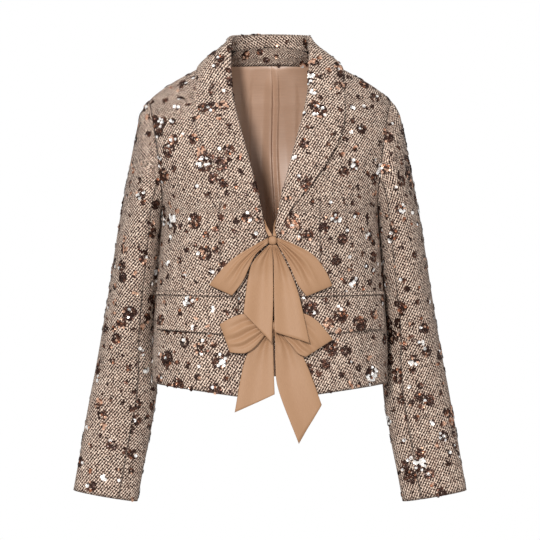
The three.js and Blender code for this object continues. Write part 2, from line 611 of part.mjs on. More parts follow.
// A loop goes out from the knot in front, turns over at its far end and comes back behind.
function bowLoop(name, table, columns = 5, rows = 16) {
  const stations = numbered(table);
  const grid = [];
  for (let r = 0; r <= rows; r++) {
    const v = r / rows;
    const at = Math.sin(Math.PI * v) * (table.length - 1);
    const depth = LOOP_KNOT_DEPTH + LOOP_DEPTH * Math.sin(Math.PI * v) ** 2;
    const row = [];
    for (let c = 0; c <= columns; c++) {
      const t = c / columns;
      const x = lerp(along(stations, "ax", at), along(stations, "bx", at), t);
      const z = lerp(along(stations, "az", at), along(stations, "bz", at), t);
      row.push(facePoint(x, z, LOOP_REST + depth * Math.cos(Math.PI * v)));
    }
    grid.push(row);
  }
  return ribbon(name, grid);
}

// A flat end of ribbon, with soft waves across its width.
function bowStrip(name, table, waves, columns = 5, rows = 9) {
  const stations = numbered(table);
  const grid = [];
  for (let r = 0; r <= rows; r++) {
    const at = (r / rows) * (table.length - 1);
    const row = [];
    for (let c = 0; c <= columns; c++) {
      const t = c / columns;
      const x = lerp(along(stations, "ax", at), along(stations, "bx", at), t);
      const z = lerp(along(stations, "az", at), along(stations, "bz", at), t);
      const wave = waves * Math.sin(t * Math.PI * 2.2 + 0.6) * smooth(r / rows / 0.35);
      row.push(facePoint(x, z, along(stations, "lift", at) + wave));
    }
    grid.push(row);
  }
  return ribbon(name, grid);
}

// The ribbon's thickness goes towards the front, or towards the inside of a loop.
function ribbon(name, grid) {
  const a = grid[1][0].clone().sub(grid[0][0]);
  const b = grid[0].at(-1).clone().sub(grid[0][0]);
  const side = a.cross(b).y < 0 ? -1 : 1;
  return cloth(name, SATIN_FINISH, grid, RIBBON, side, false);
}

function bowKnot(name, { x, z, lift, wide, high, deep }) {
  const geometry = new THREE.SphereGeometry(1, 14, 8);
  const centre = facePoint(x, z, lift);
  const points = geometry.getAttribute("position");
  const square = (value) => Math.sign(value) * Math.abs(value) ** 0.82;
  for (let i = 0; i < points.count; i++)
    points.setXYZ(
      i,
      centre.x + wide * square(points.getX(i)) * 0.93,
      centre.y + deep * square(points.getZ(i)) * 0.93,
      centre.z - high * square(points.getY(i)) * 0.93,
    );
  geometry.deleteAttribute("uv");
  geometry.computeVertexNormals();
  const mesh = new THREE.Mesh(geometry, new THREE.MeshStandardMaterial(SATIN_FINISH));
  mesh.name = name;
  return mesh;
}

const jacket = new THREE.Group();
jacket.add(collarHalf("collar_left", false), collarHalf("collar_right", true));
for (const [side, mirror] of [["right", false], ["left", true]])
  jacket.add(pocketFlap("pocket_flap_" + side, mirror), pocketWelt("pocket_welt_" + side, mirror));
jacket.add(frontPanel("front_right", false), frontPanel("front_left", true), backPanel());
jacket.add(backLining(), neckFacing());
for (const [place, bow] of Object.entries(BOWS)) {
  jacket.add(bowKnot(`bow_${place}_knot`, bow.knot));
  for (const side of ["right", "left"])
    jacket.add(
      bowLoop(`bow_${place}_loop_${side}`, bow.loops[side]),
      bowStrip(`bow_${place}_tail_${side}`, bow.tails[side], 1.6),
      bowStrip(`bow_${place}_tie_${side}`, bow.ties[side], 0, 2, 4),
    );
}
const SEAM_TURN = 0.0045; // the seam's gap, as an angle round the sleeve
for (const [side, mirror] of [["left", false], ["right", true]]) {
  const edge = SLEEVE_SEAM - SEAM_TURN;
  jacket.add(sleevePiece("sleeve_upper_" + side, -edge, edge, 14, mirror));
  jacket.add(sleevePiece("sleeve_under_" + side, SLEEVE_SEAM + SEAM_TURN, 2 * Math.PI - SLEEVE_SEAM - SEAM_TURN, 8, mirror));
}

export default jacket;
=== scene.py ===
import json
import math

import bmesh
import bpy
import numpy as np
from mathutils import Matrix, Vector
from mathutils.bvhtree import BVHTree

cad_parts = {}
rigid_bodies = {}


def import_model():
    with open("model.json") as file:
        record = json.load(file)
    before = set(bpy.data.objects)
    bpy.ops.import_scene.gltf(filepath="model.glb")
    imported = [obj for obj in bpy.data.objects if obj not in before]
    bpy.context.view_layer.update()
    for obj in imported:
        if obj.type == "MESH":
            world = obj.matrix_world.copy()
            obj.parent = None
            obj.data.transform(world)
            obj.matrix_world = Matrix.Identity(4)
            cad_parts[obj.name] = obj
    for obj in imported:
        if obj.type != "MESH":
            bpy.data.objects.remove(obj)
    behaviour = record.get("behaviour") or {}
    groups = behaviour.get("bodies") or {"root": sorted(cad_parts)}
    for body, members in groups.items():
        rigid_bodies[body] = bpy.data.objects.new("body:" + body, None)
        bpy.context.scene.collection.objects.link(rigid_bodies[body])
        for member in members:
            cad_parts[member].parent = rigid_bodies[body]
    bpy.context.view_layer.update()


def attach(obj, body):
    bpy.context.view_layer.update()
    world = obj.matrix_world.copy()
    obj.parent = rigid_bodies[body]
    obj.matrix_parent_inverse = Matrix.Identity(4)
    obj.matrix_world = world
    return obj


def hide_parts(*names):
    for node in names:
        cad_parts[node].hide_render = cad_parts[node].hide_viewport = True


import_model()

scene = bpy.context.scene

# The fronts and the back
# Two fronts and one back of chunky tweed over a plain lining, sewn at the shoulders and sides and filled out
# as if worn. The fronts meet at the foot of the V. Each has a dart from the chest down to its pocket.

# heights, and how far the body's walls reach to the side, the front and the back there, in mm
BODY = {
    "z": [-545, -511, -450, -383, -330, -290, -250, -238, -224, -206, -185, -163, -140, -120, -101, -88, -76,
          -70, -63.5, -51, -38.7, -24.8, -12, 0, 14],
    "half": [183.5, 182.5, 181.5, 177, 172.5, 169, 167.5, 169.3, 173, 178.6, 184.4, 188.4, 191, 192, 191,
             189.2, 187, 181.5, 173.5, 156, 135, 109, 84.5, 62, 60],
    "front": [116, 115, 111, 108, 109, 111, 113, 113.5, 113, 111.5, 108, 103, 96, 88, 79, 71.5, 64, 60, 55.5,
              47, 38.5, 28.5, 17.5, 5, 4],
    "back": [98, 97, 93, 89, 90, 94, 99, 100.5, 102, 103.5, 104.5, 105, 104, 101, 97.5, 95, 92, 91, 89.7, 87,
             83.5, 79.5, 75.5, 72, 69],
}
# half the width of the V at each height
OPENING = {
    "z": [-288, -268, -238, -204, -170, -139, -111, -84, -59, -28, 0],
    "half": [2.6, 8.6, 14.2, 22.4, 31.2, 39.4, 47.2, 53.4, 57.6, 59.6, 60],
}
TWEED, LINING_CLOTH, FACING_CLOTH = 2.0, 1.0, 1.8
SEAM = 0.3
INSIDE = -(TWEED + SEAM)
FRONT_GAP, FRONT_CUTAWAY = 1.6, 22
SIDE_NECK = 62
SHOULDER_Z, UNDERARM_Z, BREAK_Z, HEM_Z = -76, -250, -288, -511.5
HEM_DIP, HEM_RISE, POWER = 25, 6, 2.3
ARMHOLE_MIDDLE, ARMHOLE_RISE, ARMHOLE_DEPTH = (SHOULDER_Z + UNDERARM_Z) / 2, (SHOULDER_Z - UNDERARM_Z) / 2, 50
BACK_NECK_Z = 12


def between(table, name, at, key="z"):
    """Smooth values between the rows of a table, by one of its columns."""
    keys, values = np.asarray(table[key], float), np.asarray(table[name], float)
    at = np.asarray(at, float)
    last = len(keys) - 1
    i = np.clip(np.searchsorted(keys, at) - 1, 0, last - 1)
    span = keys[i + 1] - keys[i]
    u = np.clip((at - keys[i]) / span, 0, 1)
    low, high = np.maximum(np.arange(last + 1) - 1, 0), np.minimum(np.arange(last + 1) + 1, last)
    slope = (values[high] - values[low]) / (keys[high] - keys[low])
    a, b = values[i], values[i + 1]
    return ((2 * u**3 - 3 * u**2 + 1) * a + (u**3 - 2 * u**2 + u) * slope[i] * span
            + (3 * u**2 - 2 * u**3) * b + (u**3 - u**2) * slope[i + 1] * span)


def row_values(table, at):
    """Smooth values of all the columns of a table that is read by its index."""
    return {name: between(table, name, at, "index") for name in table if name != "index"}


def smooth(t):
    t = np.clip(t, 0, 1)
    return t * t * (3 - 2 * t)


def hem_dip(x, z, face):
    share = np.maximum(1 - np.abs(x) / between(BODY, "half", z), 0)
    return (HEM_DIP if face < 0 else -HEM_RISE) * share * smooth((-330 - z) / 200)


def body_point(turn, z, face):
    """turn runs from 0 at the right side seam to pi at the left one. face is -1 in front and 1 behind."""
    turn, z = np.broadcast_arrays(np.asarray(turn, float), np.asarray(z, float))
    half = between(BODY, "half", z)
    depth = between(BODY, "front" if face < 0 else "back", z)
    angle = np.arctan2(depth * np.sin(turn), half * np.cos(turn))
    reach = (np.abs(np.cos(angle) / half) ** POWER + np.abs(np.sin(angle) / depth) ** POWER) ** (-1 / POWER)
    x = -reach * np.cos(angle)
    return np.stack([x, face * reach * np.sin(angle), z - hem_dip(x, z, face)], -1)


def unit(v):
    return v / np.maximum(np.linalg.norm(v, axis=-1, keepdims=True), 1e-9)


def lifted(turn, z, face, lift):
    across = body_point(turn + 0.004, z, face) - body_point(turn - 0.004, z, face)
    up = body_point(turn, z + 0.5, face) - body_point(turn, z - 0.5, face)
    return body_point(turn, z, face) + unit(np.cross(across, up)) * -face * np.asarray(lift)[..., None]


def turn_where(z, face, test):
    low, high = np.zeros(np.shape(z)), np.full(np.shape(z), math.pi / 2)
    for _ in range(34):
        mid = (low + high) / 2
        inside = test(body_point(mid, z, face))
        low, high = np.where(inside, mid, low), np.where(inside, high, mid)
    return (low + high) / 2


def turn_at_x(z, face, x):
    return turn_where(z, face, lambda p: -p[..., 0] > x)


def turn_at_y(z, face, y):
    return turn_where(z, face, lambda p: np.abs(p[..., 1]) < y)


def face_point(x, z, lift, face=-1):
    """The body's point that the front or back view shows at x and z, moved out by lift."""
    x, z, lift = np.broadcast_arrays(*(np.asarray(v, float) for v in (x, z, lift)))
    row = z
    for _ in range(6):
        row = z + hem_dip(x, row, face)
    turn = turn_at_x(row, face, np.abs(x))
    return lifted(np.where(x > 0, math.pi - turn, turn), row, face, lift)


def armhole(angle):
    """Height and distance from the middle, to the front or back, round an egg that is narrow on top."""
    height = ARMHOLE_MIDDLE + ARMHOLE_RISE * np.cos(angle)
    return height, ARMHOLE_DEPTH * np.abs(np.sin(angle)) * (1 - 0.18 * np.cos(angle))


def side_turn(z, face):
    seam = turn_at_y(z, face, np.full(np.shape(z), SEAM / 2))
    angle = np.arccos(np.clip((z - ARMHOLE_MIDDLE) / ARMHOLE_RISE, -1, 1))
    at_armhole = np.maximum(seam, turn_at_y(z, face, armhole(angle)[1]))
    return np.where((z <= UNDERARM_Z) | (z >= SHOULDER_Z), seam, at_armhole)


def front_edge(z):
    straight = FRONT_GAP + FRONT_CUTAWAY * smooth((-395 - z) / 150)
    v_edge = between(OPENING, "half", z) + 4.6 + 14 * smooth((z + 78) / 48)
    return np.where(z < BREAK_Z, straight, np.maximum(straight, v_edge))


def back_turn(z):
    neck_half = SIDE_NECK * np.sqrt(np.maximum(1 - z / (BACK_NECK_Z + 1.2), 0))
    at_neck = np.maximum(side_turn(z, 1), turn_at_x(z, 1, np.minimum(neck_half, SIDE_NECK - 1)))
    return np.where(z < -3, side_turn(z, 1), at_neck)


def rows_between(low, high, step, *must):
    """Heights from low to high about a step apart, with those that a row must stand at."""
    stops = sorted({low, high, *(m for m in must if low < m < high)})
    rows = []
    for a, b in zip(stops, stops[1:]):
        rows += list(np.linspace(a, b, max(1, round((b - a) / step)) + 1))[:-1]
    return np.array(rows + [stops[-1]])


def grid_normals(grid):
    return unit(np.cross(np.gradient(grid, axis=0), np.gradient(grid, axis=1)))


def cloth_lengths(grid, start=0.0):
    """Where each point of a grid lies on the flat cloth, in mm: across from the row's start, and up."""
    across = np.linalg.norm(np.diff(grid, axis=1), axis=-1)
    up = np.linalg.norm(np.diff(grid, axis=0), axis=-1).mean(1)
    u = np.concatenate([np.zeros((len(grid), 1)), np.cumsum(across, 1)], 1) + np.reshape(start, (-1, 1))
    v = np.broadcast_to(np.concatenate([[0], np.cumsum(up)])[:, None], u.shape)
    return np.stack([u, v], -1)


def cloth(name, grid, thickness, side, materials, uv, mirror=False, edge=0.45):
    """A wall of even thickness from one grid of points. side tells where its back lies."""
    back = grid + grid_normals(grid) * side * thickness
    return wall(name, grid, back, materials, uv, mirror, edge)


def placed(name, data):
    """A new object in the scene."""
    obj = bpy.data.objects.new(name, data)
    scene.collection.objects.link(obj)
    return obj


def wall(name, face, back, materials, uv, mirror=False, edge=0.45, sewn=1.0):
    """A closed wall of cloth between two grids of points, with soft edges that are marked as sewn, where the
    tweed sinks in and is darkened with painted shade.
    """
    if mirror:
        face, back = face * [-1, 1, 1], back * [-1, 1, 1]
    ways = [np.gradient(face, axis=k) * np.sign(np.gradient(uv[..., 1 - k], axis=k).mean()) for k in (1, 0)]
    if np.sum(np.cross(*ways) * (face - back)) < 0:
        uv = uv * [-1, 1]
    rows, columns = face.shape[:2]
    index = np.arange(rows * columns).reshape(rows, columns)
    points = [face.reshape(-1, 3), back.reshape(-1, 3)]
    faces, kinds, corners = [], [], []
    flat_uv = uv.reshape(-1, 2)
    count = rows * columns

    def add(quads, kind, ids):
        faces.append(quads)
        kinds.append(np.full(len(quads), kind))
        corners.append(ids)

    q = np.stack([index[:-1, :-1], index[:-1, 1:], index[1:, 1:], index[1:, :-1]], -1).reshape(-1, 4)
    add(q, 0, q)
    add(q[:, ::-1] + count, 1, q[:, ::-1])
    ring = np.concatenate([index[0, :-1], index[:-1, -1], index[-1, :0:-1], index[:0:-1, 0]])
    inner = np.concatenate([index[1, :-1], index[:-1, -2], index[-2, :0:-1], index[:0:-1, 1]])
    flat_face, flat_back = points[0], points[1]
    out = unit(flat_face[ring] - flat_face[inner])
    rim = (flat_face[ring] + flat_back[ring]) / 2 + out * edge
    points.append(rim)
    mid = 2 * count + np.arange(len(ring))
    after = np.roll(np.arange(len(ring)), -1)
    at_rim = np.stack([ring[after], ring, ring, ring[after]], -1)
    add(np.stack([ring[after], ring, mid, mid[after]], -1), 0, at_rim)
    add(np.stack([mid[after], mid, ring + count, ring[after] + count], -1), 0, at_rim)
    points, faces, kinds, corners = map(np.concatenate, (points, faces, kinds, corners))
    a, b, c, d = (points[faces[:, k]] for k in range(4))
    volume = (np.einsum("ij,ij->i", a, np.cross(b, c)) + np.einsum("ij,ij->i", a, np.cross(c, d))).sum()
    if volume < 0:
        faces, corners = faces[:, ::-1], corners[:, ::-1]
    mesh = bpy.data.meshes.new(name)
    mesh.from_pydata((points * 0.001).tolist(), [], faces.tolist())
    for material in materials:
        mesh.materials.append(material)
    mesh.polygons.foreach_set("material_index", np.minimum(kinds, len(materials) - 1).astype(np.int32))
    layer = mesh.uv_layers.new(name="cloth_mm")
    layer.data.foreach_set("uv", flat_uv[corners.reshape(-1)].reshape(-1).astype(np.float32))
    # the seam mark drives both the tweed's sinking and its painted seam shade
    near = np.zeros(len(points), np.float32)
    near[np.concatenate([ring, ring + count, mid])] = sewn
    mesh.attributes.new("seam", "FLOAT", "POINT").data.foreach_set("value", near)
    mesh.validate()
    mesh.shade_smooth()
    outer_faces[name] = len(q)
    return placed(name, mesh)


outer_faces = {}


def declare(obj, nodes):
    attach(obj, "root")
    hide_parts(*nodes)


def set_inputs(node, values):
    for name, value in values.items():
        node.inputs[name].default_value = value


def maths(tree, kind, a, b=0.0):
    """A maths node whose two inputs are sockets or plain numbers."""
    n = tree.nodes.new("ShaderNodeMath")
    n.operation = kind
    for socket, value in zip(n.inputs, (a, b)):
        if isinstance(value, (int, float)):
            socket.default_value = value
        else:
            tree.links.new(value, socket)
    return n.outputs[0]


def tweed_group():
    """Cream and brown yarns in a chunky diagonal weave, from the cloth's own millimetres."""
    tree = bpy.data.node_groups.new("chunky_tweed", "ShaderNodeTree")
    for socket, kind in (("Cloth", "NodeSocketVector"), ("Seam", "NodeSocketFloat")):
        tree.interface.new_socket(socket, in_out="INPUT", socket_type=kind)
    for socket, kind in (("Color", "NodeSocketColor"), ("Height", "NodeSocketFloat")):
        tree.interface.new_socket(socket, in_out="OUTPUT", socket_type=kind)
    node, link = tree.nodes.new, tree.links.new
    start, end = node("NodeGroupInput"), node("NodeGroupOutput")

    def noise(scale, detail, source):
        n = node("ShaderNodeTexNoise")
        set_inputs(n, {"Scale": scale, "Detail": detail})
        link(source, n.inputs["Vector"])
        return n.outputs["Fac"]

    def bands(angle, period, distortion):
        turned = node("ShaderNodeMapping")
        turned.inputs["Rotation"].default_value = (0, 0, math.radians(angle))
        link(start.outputs["Cloth"], turned.inputs["Vector"])
        n = node("ShaderNodeTexWave")
        set_inputs(n, {"Scale": math.pi / 10 / period, "Distortion": distortion})
        set_inputs(n, {"Detail": 1.5, "Detail Scale": 6})
        link(turned.outputs["Vector"], n.inputs["Vector"])
        return n.outputs["Fac"]

    # angle, spacing in mm, unevenness and weight of the twill, the crossing yarns and the fine ones
    weave = 0.0
    for angle, spacing, uneven, weight in ((33, 3.8, 3.4, 0.5), (-64, 4.25, 4.4, 0.27), (8, 2.6, 3.0, 0.23)):
        weave = maths(tree, "ADD", maths(tree, "MULTIPLY", bands(angle, spacing, uneven), weight), weave)
    ramp = node("ShaderNodeValToRGB")
    stops = ((0.33, (0.012, 0.007, 0.006)), (0.46, (0.085, 0.048, 0.038)), (0.55, (0.32, 0.212, 0.172)),
             (0.66, (0.63, 0.48, 0.385)), (0.80, (0.91, 0.77, 0.655)))
    while len(ramp.color_ramp.elements) < len(stops):
        ramp.color_ramp.elements.new(0.5)
    for element, (at, colour) in zip(ramp.color_ramp.elements, stops):
        element.position, element.color = at, (*colour, 1)
    speckle = noise(0.45, 2, start.outputs["Cloth"])
    slubs = noise(0.17, 1, start.outputs["Cloth"])
    flecks = maths(tree, "MULTIPLY", maths(tree, "SUBTRACT", speckle, 0.5), 0.85)
    lumps = maths(tree, "MULTIPLY", maths(tree, "SUBTRACT", slubs, 0.5), 0.3)
    link(maths(tree, "ADD", weave, maths(tree, "ADD", flecks, lumps)), ramp.inputs["Fac"])
    drift = noise(0.06, 2, start.outputs["Cloth"])
    tint = node("ShaderNodeMix")
    tint.data_type, tint.blend_type = "RGBA", "MULTIPLY"
    tones = node("ShaderNodeValToRGB")
    drifts = ((0.3, (0.86, 0.80, 0.76)), (0.7, (1.0, 0.99, 0.96)))
    for element, (at, colour) in zip(tones.color_ramp.elements, drifts):
        element.position, element.color = at, (*colour, 1)
    link(drift, tones.inputs["Fac"])
    tint.inputs["Factor"].default_value = 1.0
    link(ramp.outputs["Color"], tint.inputs["A"])
    link(tones.outputs["Color"], tint.inputs["B"])
    # painted shade: along seams and the dart the colour is mixed towards dark brown, standing in for the
    # shade in the sunk groove
    seam = node("ShaderNodeMix")
    seam.data_type, seam.blend_type = "RGBA", "MIX"
    link(maths(tree, "MULTIPLY", start.outputs["Seam"], 0.62), seam.inputs["Factor"])
    link(tint.outputs["Result"], seam.inputs["A"])
    seam.inputs["B"].default_value = (0.07, 0.045, 0.035, 1)
    link(seam.outputs["Result"], end.inputs["Color"])
    fuzz = noise(2.2, 3, start.outputs["Cloth"])
    height = maths(tree, "ADD", weave, maths(tree, "MULTIPLY", fuzz, 0.25))
    sunk = maths(tree, "MULTIPLY", start.outputs["Seam"], 1.1)
    link(maths(tree, "SUBTRACT", height, sunk), end.inputs["Height"])
    return tree


WEAVE = tweed_group()


def new_material(name):
    """A new material, its node tree, its shader and the cloth's millimetres."""
    material = bpy.data.materials.new(name)
    material.use_nodes = True
    tree = material.node_tree
    cloth_uv = tree.nodes.new("ShaderNodeUVMap")
    cloth_uv.uv_map = "cloth_mm"
    return material, tree, tree.nodes["Principled BSDF"], cloth_uv.outputs["UV"]


def raise_threads(tree, shader, height, strength, distance):
    bump = tree.nodes.new("ShaderNodeBump")
    set_inputs(bump, {"Strength": strength, "Distance": distance})
    tree.links.new(height, bump.inputs["Height"])
    tree.links.new(bump.outputs["Normal"], shader.inputs["Normal"])


def dart_line(tree, uv, across, low, high):
    """1 along the dart of a front, which lies across mm from the centre front, between two heights."""

    def step(source, start, end, rise):
        n = tree.nodes.new("ShaderNodeMapRange")
        n.inputs["From Min"].default_value, n.inputs["From Max"].default_value = start, end
        n.inputs["To Min"].default_value, n.inputs["To Max"].default_value = (0, 1) if rise else (1, 0)
        tree.links.new(source, n.inputs["Value"])
        return n.outputs[0]

    parts = tree.nodes.new("ShaderNodeSeparateXYZ")
    tree.links.new(uv, parts.inputs[0])
    from_centre = maths(tree, "ABSOLUTE", parts.outputs[0])
    away = maths(tree, "ABSOLUTE", maths(tree, "SUBTRACT", from_centre, across))
    foot = step(parts.outputs[1], low - 4, low + 4, True)
    tip = step(parts.outputs[1], high - 25, high, False)
    return maths(tree, "MULTIPLY", step(away, 0.3, 1.5, False), maths(tree, "MULTIPLY", foot, tip))


def tweed_material(name, dart=None):
    """The tweed sinks in along sewn edges and along the dart, which is (across, low, high) in mm, and there
    its colour is darkened with painted shade.
    """
    material, tree, shader, uv = new_material(name)
    set_inputs(shader, {"Roughness": 0.88, "Specular IOR Level": 0.25})
    set_inputs(shader, {"Sheen Weight": 0.04, "Sheen Roughness": 0.5})
    weave = tree.nodes.new("ShaderNodeGroup")
    weave.node_tree = WEAVE
    tree.links.new(uv, weave.inputs["Cloth"])
    sewn = tree.nodes.new("ShaderNodeAttribute")
    sewn.attribute_name = "seam"
    sunk = maths(tree, "POWER", sewn.outputs["Fac"], 2.5)
    if dart:
        sunk = maths(tree, "MAXIMUM", dart_line(tree, uv, *dart), sunk)
    tree.links.new(sunk, weave.inputs["Seam"])
    tree.links.new(weave.outputs["Color"], shader.inputs["Base Color"])
    raise_threads(tree, shader, weave.outputs["Height"], 0.75, 0.0016)
    return material


def satin_material(name, shine, stretch, scale, detail, dark, light, strength, distance):
    """Satin whose threads are a noise that is stretched along the cloth."""
    material, tree, shader, uv = new_material(name)
    set_inputs(shader, shine)
    threads = tree.nodes.new("ShaderNodeMapping")
    threads.inputs["Scale"].default_value = stretch
    tree.links.new(uv, threads.inputs["Vector"])
    noise = tree.nodes.new("ShaderNodeTexNoise")
    set_inputs(noise, {"Scale": scale, "Detail": detail})
    tree.links.new(threads.outputs["Vector"], noise.inputs["Vector"])
    ramp = tree.nodes.new("ShaderNodeValToRGB")
    for element, colour in zip(ramp.color_ramp.elements, (dark, light)):
        element.color = (*colour, 1)
    tree.links.new(noise.outputs["Fac"], ramp.inputs["Fac"])
    tree.links.new(ramp.outputs["Color"], shader.inputs["Base Color"])
    raise_threads(tree, shader, noise.outputs["Fac"], strength, distance)
    return material


tweed = tweed_material("tweed")
DART_X = 77
front_tweed = tweed_material("tweed_front", dart=(DART_X, 145, 318))
lining = satin_material("lining_satin", {"Roughness": 0.42, "Sheen Weight": 0.03}, (0.02, 0.9, 1), 1.4, 2,
                        (0.325, 0.196, 0.130), (0.455, 0.28, 0.188), 0.12, 0.0004)


def ridge(x, z, x0, z0, dx, dz, wide, long):
    """One soft fold: a ridge that runs from a point in the direction dx, dz."""
    size = math.hypot(dx, dz)
    along = ((x - x0) * dx + (z - z0) * dz) / size
    across = ((x - x0) * dz - (z - z0) * dx) / size
    ends = smooth((along + long * 0.25) / (long * 0.3)) * smooth((long - along) / (long * 0.4))
    return np.exp(-((across / wide) ** 2)) * ends


# x, z, direction x and z, width, length, height: the soft folds of one front, uneven from side to side
FRONT_FOLDS = [
    (150, -262, -0.55, -1, 9, 95, 1.6), (164, -300, -0.25, -1, 8, 120, 1.3),
    (22, -300, 0.5, -1, 12, 110, -1.4), (120, -440, 0.1, -1, 16, 90, 1.5),
    (60, -450, -0.05, -1, 18, 90, -1.3), (155, -150, -0.6, -0.8, 11, 70, 1.3),
    (95, -60, 0.6, -0.9, 14, 80, 1.0), (168, -420, -0.06, -1, 9, 90, 1.2),
]
BACK_FOLDS = [
    (-140, -190, 0.5, -1, 12, 120, 2.2), (138, -180, -0.45, -1, 12, 130, 2.0),
    (-90, -330, -0.1, -1, 18, 170, 2.0), (72, -350, 0.12, -1, 20, 150, 1.8),
    (10, -300, 0.05, -1, 24, 200, -1.8), (-150, -270, 0.2, -1, 10, 110, 1.5),
    (152, -285, -0.2, -1, 10, 120, 1.6), (0, -60, 0, -1, 30, 80, 1.4), (120, -420, 0.1, -1, 16, 90, 1.5),
]


def folded(x, z, folds, jitter):
    """How far the folds lift the cloth. jitter moves them unevenly, in mm."""
    total = np.zeros(x.shape)
    for k, (x0, z0, dx, dz, wide, long, high) in enumerate(folds):
        shift = jitter * ((k * 37) % 11 - 5)
        total += high * ridge(x, z, x0 + shift, z0 + shift * 1.7, dx, dz, wide, long)
    return total


def front_panel(name, mirror, jitter):
    heights = rows_between(HEM_Z, -12, 5.5, BREAK_Z, UNDERARM_Z, SHOULDER_Z, -248.5, -246)
    columns = 44
    start, end = turn_at_x(heights, -1, front_edge(heights)), side_turn(heights, -1)
    t = np.linspace(0, 1, columns + 1)
    turns = start[:, None] + (end - start)[:, None] * t
    z = np.broadcast_to(heights[:, None], turns.shape)
    plain = body_point(turns, z, -1)
    edge_fade = smooth(t / 0.06) * smooth((1 - t) / 0.06)
    lift = folded(np.abs(plain[..., 0]), plain[..., 2], FRONT_FOLDS, jitter) * edge_fade
    dart = smooth((-190 - z) / 40) * smooth((z + 375) / 30)
    groove = np.exp(-(((np.abs(plain[..., 0]) - DART_X) / 5) ** 2)) * dart
    lift = np.maximum(lift, -1.2) - 0.6 * groove
    outer, inner = lifted(turns, z, -1, lift), lifted(turns, z, -1, lift - TWEED)
    uv = cloth_lengths(outer, front_edge(heights))
    return wall(name, outer, inner, [front_tweed, lining], uv, mirror)


for side, mirror, jitter in (("right", False, 0.9), ("left", True, -0.8)):
    front = front_panel(f"front_{side}_cloth", mirror, jitter)
    declare(front, [f"front_{side}"])

BACK_ROWS = rows_between(
    HEM_Z, BACK_NECK_Z, 6, UNDERARM_Z, SHOULDER_Z, -248.5, -246, -16, -16.3, -498, -3, -2, 8.5, 11
)
T_BACK = np.linspace(0, 1, 73)


def back_grid(heights, lift, t=T_BACK):
    start = back_turn(heights)
    turns = start[:, None] + (math.pi - 2 * start)[:, None] * t
    z = np.broadcast_to(heights[:, None], turns.shape)
    plain = body_point(turns, z, 1)
    fade = smooth(t / 0.05) * smooth((1 - t) / 0.05)
    soft = np.maximum(folded(plain[..., 0], plain[..., 2], BACK_FOLDS, 0) * fade, -1.2)
    return lifted(turns, z, 1, soft + lift(plain, z))


def centred_lengths(grid):
    """Lengths on the flat cloth, across from the middle of each row."""
    uv = cloth_lengths(grid)
    uv[..., 0] -= uv[:, grid.shape[1] // 2][:, None, 0]
    return uv


back_out = back_grid(BACK_ROWS, lambda p, z: 0 * z)
back_in = back_grid(BACK_ROWS, lambda p, z: 0 * z - TWEED)
back = wall("back_cloth", back_out, back_in, [tweed, lining], centred_lengths(back_out))
declare(back, ["back"])

# The inside of the back
# A tweed facing follows the back neck. Below it hangs a satin lining with a soft pleat down the centre, which
# gives room across the shoulders. Both are sewn together along a level seam.

# x of the folded edge, width of its soft side, height
PLEATS = ((0.5, 16, 6.4), (10.5, 8.5, 3.4), (-34, 22, 1.8), (40, 24, 2.0))


def pleat(p, z):
    x = p[..., 0] + z * 0.018 + 1.5 * np.sin(z / 33)
    fade = smooth((-14 - z) / 40) * smooth((z + 500) / 240)
    fold = 0
    for edge, soft, high in PLEATS:
        fold = fold + high * smooth((x - edge + soft) / soft) * smooth((edge + 1.2 - x) / 1.2)
    ripples = 0.8 * np.sin(x / 6.5) * np.exp(-(((z + 30) / 22) ** 2)) + 0.6 * np.sin(x / 9 + z / 40)
    return fold * fade + ripples * smooth((-16.5 - z) / 8) * smooth((z + 500) / 240)


lining_rows = BACK_ROWS[(BACK_ROWS >= -498) & (BACK_ROWS < -16.1)]
spread = np.linspace(-1, 1, 141)
T_LINING = 0.5 + 0.5 * spread * (0.22 + 0.78 * spread**2)
lining_out = back_grid(lining_rows, lambda p, z: INSIDE - LINING_CLOTH - np.maximum(pleat(p, z), 0), T_LINING)
lining_in = back_grid(lining_rows, lambda p, z: INSIDE - np.maximum(pleat(p, z), 0), T_LINING)
back_lining = wall("back_lining_cloth", lining_out, lining_in, [lining], centred_lengths(lining_out))
declare(back_lining, ["back_lining"])
facing_rows = BACK_ROWS[BACK_ROWS >= -16.1]
facing_out = back_grid(facing_rows, lambda p, z: 0 * z + INSIDE - FACING_CLOTH)
facing_in = back_grid(facing_rows, lambda p, z: 0 * z + INSIDE)
facing = wall("back_neck_facing_cloth", facing_out, facing_in, [tweed], centred_lengths(facing_out))
declare(facing, ["back_neck_facing"])

# The sleeves
# Long sleeves in two panels each: a wide upper one and a narrow under one, seamed down the front and the
# back of the arm. They are set into the armholes and hang just behind the body's sides.

# down the sleeve: its outer and inner edge in the front view, the middle and half depth of its section, and
# how far that section has turned from the armhole's egg into an oval
SLEEVE = {
    "index": list(range(15)),
    "outX": [194.5, 201, 206, 212, 220, 228.5, 237, 246, 254.5, 263.5, 271, 279.5, 288.5,
             297.5, 306],
    "outZ": [-83.5, -97, -116, -145, -185, -229, -276, -335, -388, -440, -482, -527, -575, -630, -680],
    "inX": [168.6, 168.6, 168.3, 168.0, 167.7, 168.3, 169.4, 172.6, 175.6, 178.5, 175.5, 178, 187.5, 197.5,
            206],
    "inZ": [-252.5, -256, -261, -267, -276, -291, -314, -351, -392, -437, -481, -539, -591, -647, -697.5],
    "midY": [2, 5, 9, 14, 19, 23, 27, 28, 34, 40, 44, 44, 38, 29, 19],
    "depth": [53, 58, 63, 66.5, 68, 66, 63, 60, 56, 51.5, 47.5, 43, 38, 33, 30],
    "round": [0.15, 0.4, 0.7, 1, 1, 1, 1, 1, 1, 1, 1, 1, 1, 1, 1],
}
SLEEVE_SEAM, HALF_SEAM = math.radians(116), 0.0045
SLEEVE_GAP, SLEEVE_END = 0.5, 15


